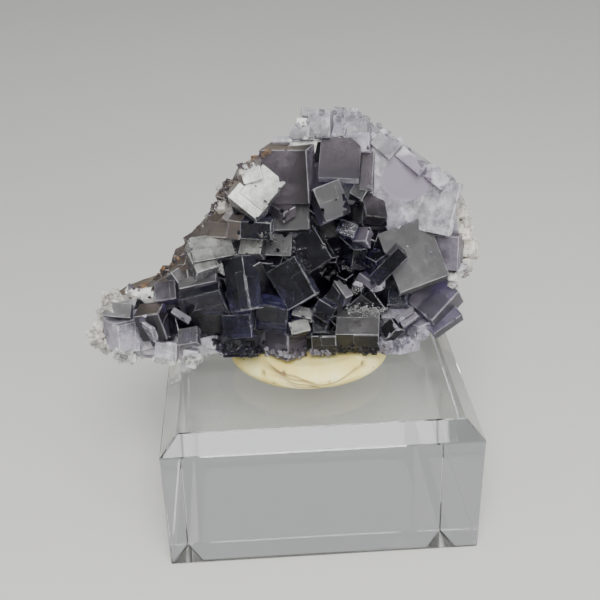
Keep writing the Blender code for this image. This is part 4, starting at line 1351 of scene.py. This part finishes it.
def putty():
    """Cream putty with a satin skin, faint smears, painted brown shade in its folds and pits, and a few dark
    specks pressed in.
    """
    r = Recipe("putty")
    place = r.place()
    smear = r.noise(place, *SMEAR)
    layers = {"base": 1.0, "smear": smear, "fine": r.noise(place, *PUTTY_GRAIN)}
    base = r.node("ValToRGB", {0: smear}, stops=PUTTY_TONES)
    speck = 1 - r.step(r.node("TexVoronoi", {"Vector": place, "Scale": SPECK_SCALE}), *SPECK_EDGE)
    # Painted shade: the putty is darkened to brown in its folds and pits
    base = r.blend(r.clamped(r.attribute("fold_pit_shade") * FOLD_SHADE_SHARE), base, opaque(FOLD_SHADE_COLOUR))
    base = r.blend(speck, base, opaque(SPECK_COLOUR))
    surface = r.principled(
        Base__Color=base,
        Roughness=mixed(layers, PUTTY_ROUGHNESS),
        IOR=DULL_IOR,
        Subsurface__Weight=0.15,
        Subsurface__Scale=0.8 * MM,
        Subsurface__Radius=(1.0, 0.8, 0.5),
        Normal=r.bump(mixed(layers, PUTTY_RELIEF), PUTTY_RELIEF_DEPTH),
    )
    return r.output(surface)


# The acrylic's tint, its smudges, and its scratches, which are noise drawn out into level lines
ACRYLIC_COLOUR = (0.97, 0.98, 0.97, 1.0)
ACRYLIC_ROUGHNESS = {"base": 0.01, "smudge": 0.05, "scratch": 0.08}
SMUDGE = (9.0, 3.0)
SMUDGE_EDGE = (0.5, 0.75)
SCRATCH = (0.8, 5.0, 0.7)
SCRATCH_EDGE = (0.68, 0.8)
SCRATCH_STRETCH = (0.12, 0.12, 2.4)
SCRATCH_SHARE = 0.5
SCRATCH_DEPTH = 0.004


def acrylic():
    """Clear acrylic with faint smudges and hairline scratches."""
    r = Recipe("acrylic")
    place = r.place()
    stretched = r.node("VectorMath", {0: place, 1: SCRATCH_STRETCH}, operation="MULTIPLY")
    scratch = r.step(r.noise(stretched, *SCRATCH), *SCRATCH_EDGE) * SCRATCH_SHARE
    layers = {"base": 1.0, "smudge": r.step(r.noise(place, *SMUDGE), *SMUDGE_EDGE), "scratch": scratch}
    surface = r.principled(
        Base__Color=ACRYLIC_COLOUR,
        Roughness=mixed(layers, ACRYLIC_ROUGHNESS),
        IOR=ACRYLIC_IOR,
        Transmission__Weight=1.0,
        Normal=r.bump(scratch, SCRATCH_DEPTH),
    )
    return r.output(surface)


def pale_floor():
    """The studio's pale floor."""
    r = Recipe("studio_floor")
    return r.output(r.principled(Base__Color=opaque(FLOOR_COLOUR), Roughness=0.7))


# Camera, lights and floor

FLOOR_REACH = 3000.0
FLOOR_DROP = 0.05
FLOOR_COLOUR = "e6e5e1"
WORLD_COLOUR = (0.42, 0.425, 0.43, 1.0)
CLIP_START = 5.0

# The softboxes face this point. Each is its azimuth and elevation in degrees, its distance and width in
# millimetres, and its brightness. The key is where the bright faces turn its reflection to the viewpoint.
AIM = Vector((0.0, -4.0, 40.0))
SOFTBOXES = {
    "key": (-3, 47, 420, 230, 12.0),
    "overhead": (20, 80, 900, 700, 0.7),
    "low": (32, 6, 420, 150, 11.0),
}


def add_camera():
    """A camera at the viewpoint, looking along the line of sight."""
    camera = bpy.data.cameras.new("view")
    camera.sensor_width = SENSOR
    camera.lens = SENSOR * GRID_FOCAL / GRID_SIZE
    camera.clip_start = CLIP_START * MM
    holder = bpy.data.objects.new("view", camera)
    turn = Matrix((RIGHT, UP, -FORWARD)).transposed().to_4x4()
    holder.matrix_world = Matrix.Translation(EYE * MM) @ turn
    bpy.context.scene.collection.objects.link(holder)
    bpy.context.scene.camera = holder


def add_softbox(name, azimuth, elevation, distance, size, brightness):
    """A square light that faces the specimen; its power is its brightness times its area times pi."""
    light = bpy.data.lights.new(name, "AREA")
    light.size = size * MM
    light.energy = brightness * (size * MM) ** 2 * math.pi
    around, above = math.radians(azimuth), math.radians(elevation)
    away = Vector((math.sin(around) * math.cos(above), -math.cos(around) * math.cos(above), math.sin(above)))
    holder = bpy.data.objects.new(name, light)
    holder.location = (AIM + away * distance) * MM
    holder.rotation_euler = away.to_track_quat("Z", "Y").to_euler()
    bpy.context.scene.collection.objects.link(holder)


def add_studio():
    """The floor, the softboxes and an even pale world."""
    reach = FLOOR_REACH / 2
    corners = [(x * reach, y * reach, -FLOOR_DROP) for x, y in ((-1, -1), (1, -1), (1, 1), (-1, 1))]
    floor = place_mesh("studio_floor", corners, [(0, 1, 2, 3)])
    floor.data.materials.append(pale_floor())
    for name, softbox in SOFTBOXES.items():
        add_softbox(name, *softbox)
    world = bpy.data.worlds.new("studio")
    world.use_nodes = True
    world.node_tree.nodes["Background"].inputs["Color"].default_value = WORLD_COLOUR
    bpy.context.scene.world = world


def dress(piece, node, material, smooth):
    """Gives a piece its material and shading, hangs it on the root body, and hides the solid that it stands
    for.
    """
    piece.data.materials.clear()
    piece.data.materials.append(material)
    if smooth:
        piece.data.shade_smooth()
    else:
        piece.data.shade_flat()
    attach(piece, "root")
    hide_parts(node)


def main():
    add_camera()
    add_studio()
    dress(build_block(), "acrylic_block", acrylic(), smooth=False)
    dress(build_putty(), "mineral_putty", putty(), smooth=True)
    dress(build_rock(), "matrix_rock", rock(), smooth=False)
    crystals = build_crystals()
    crumbs = build_crumbs(crystals)
    skin = fluorite()
    dress(crystals, "fluorite_crystals", skin, smooth=False)
    dress(crumbs, "fluorite_crystals", skin, smooth=False)


main()
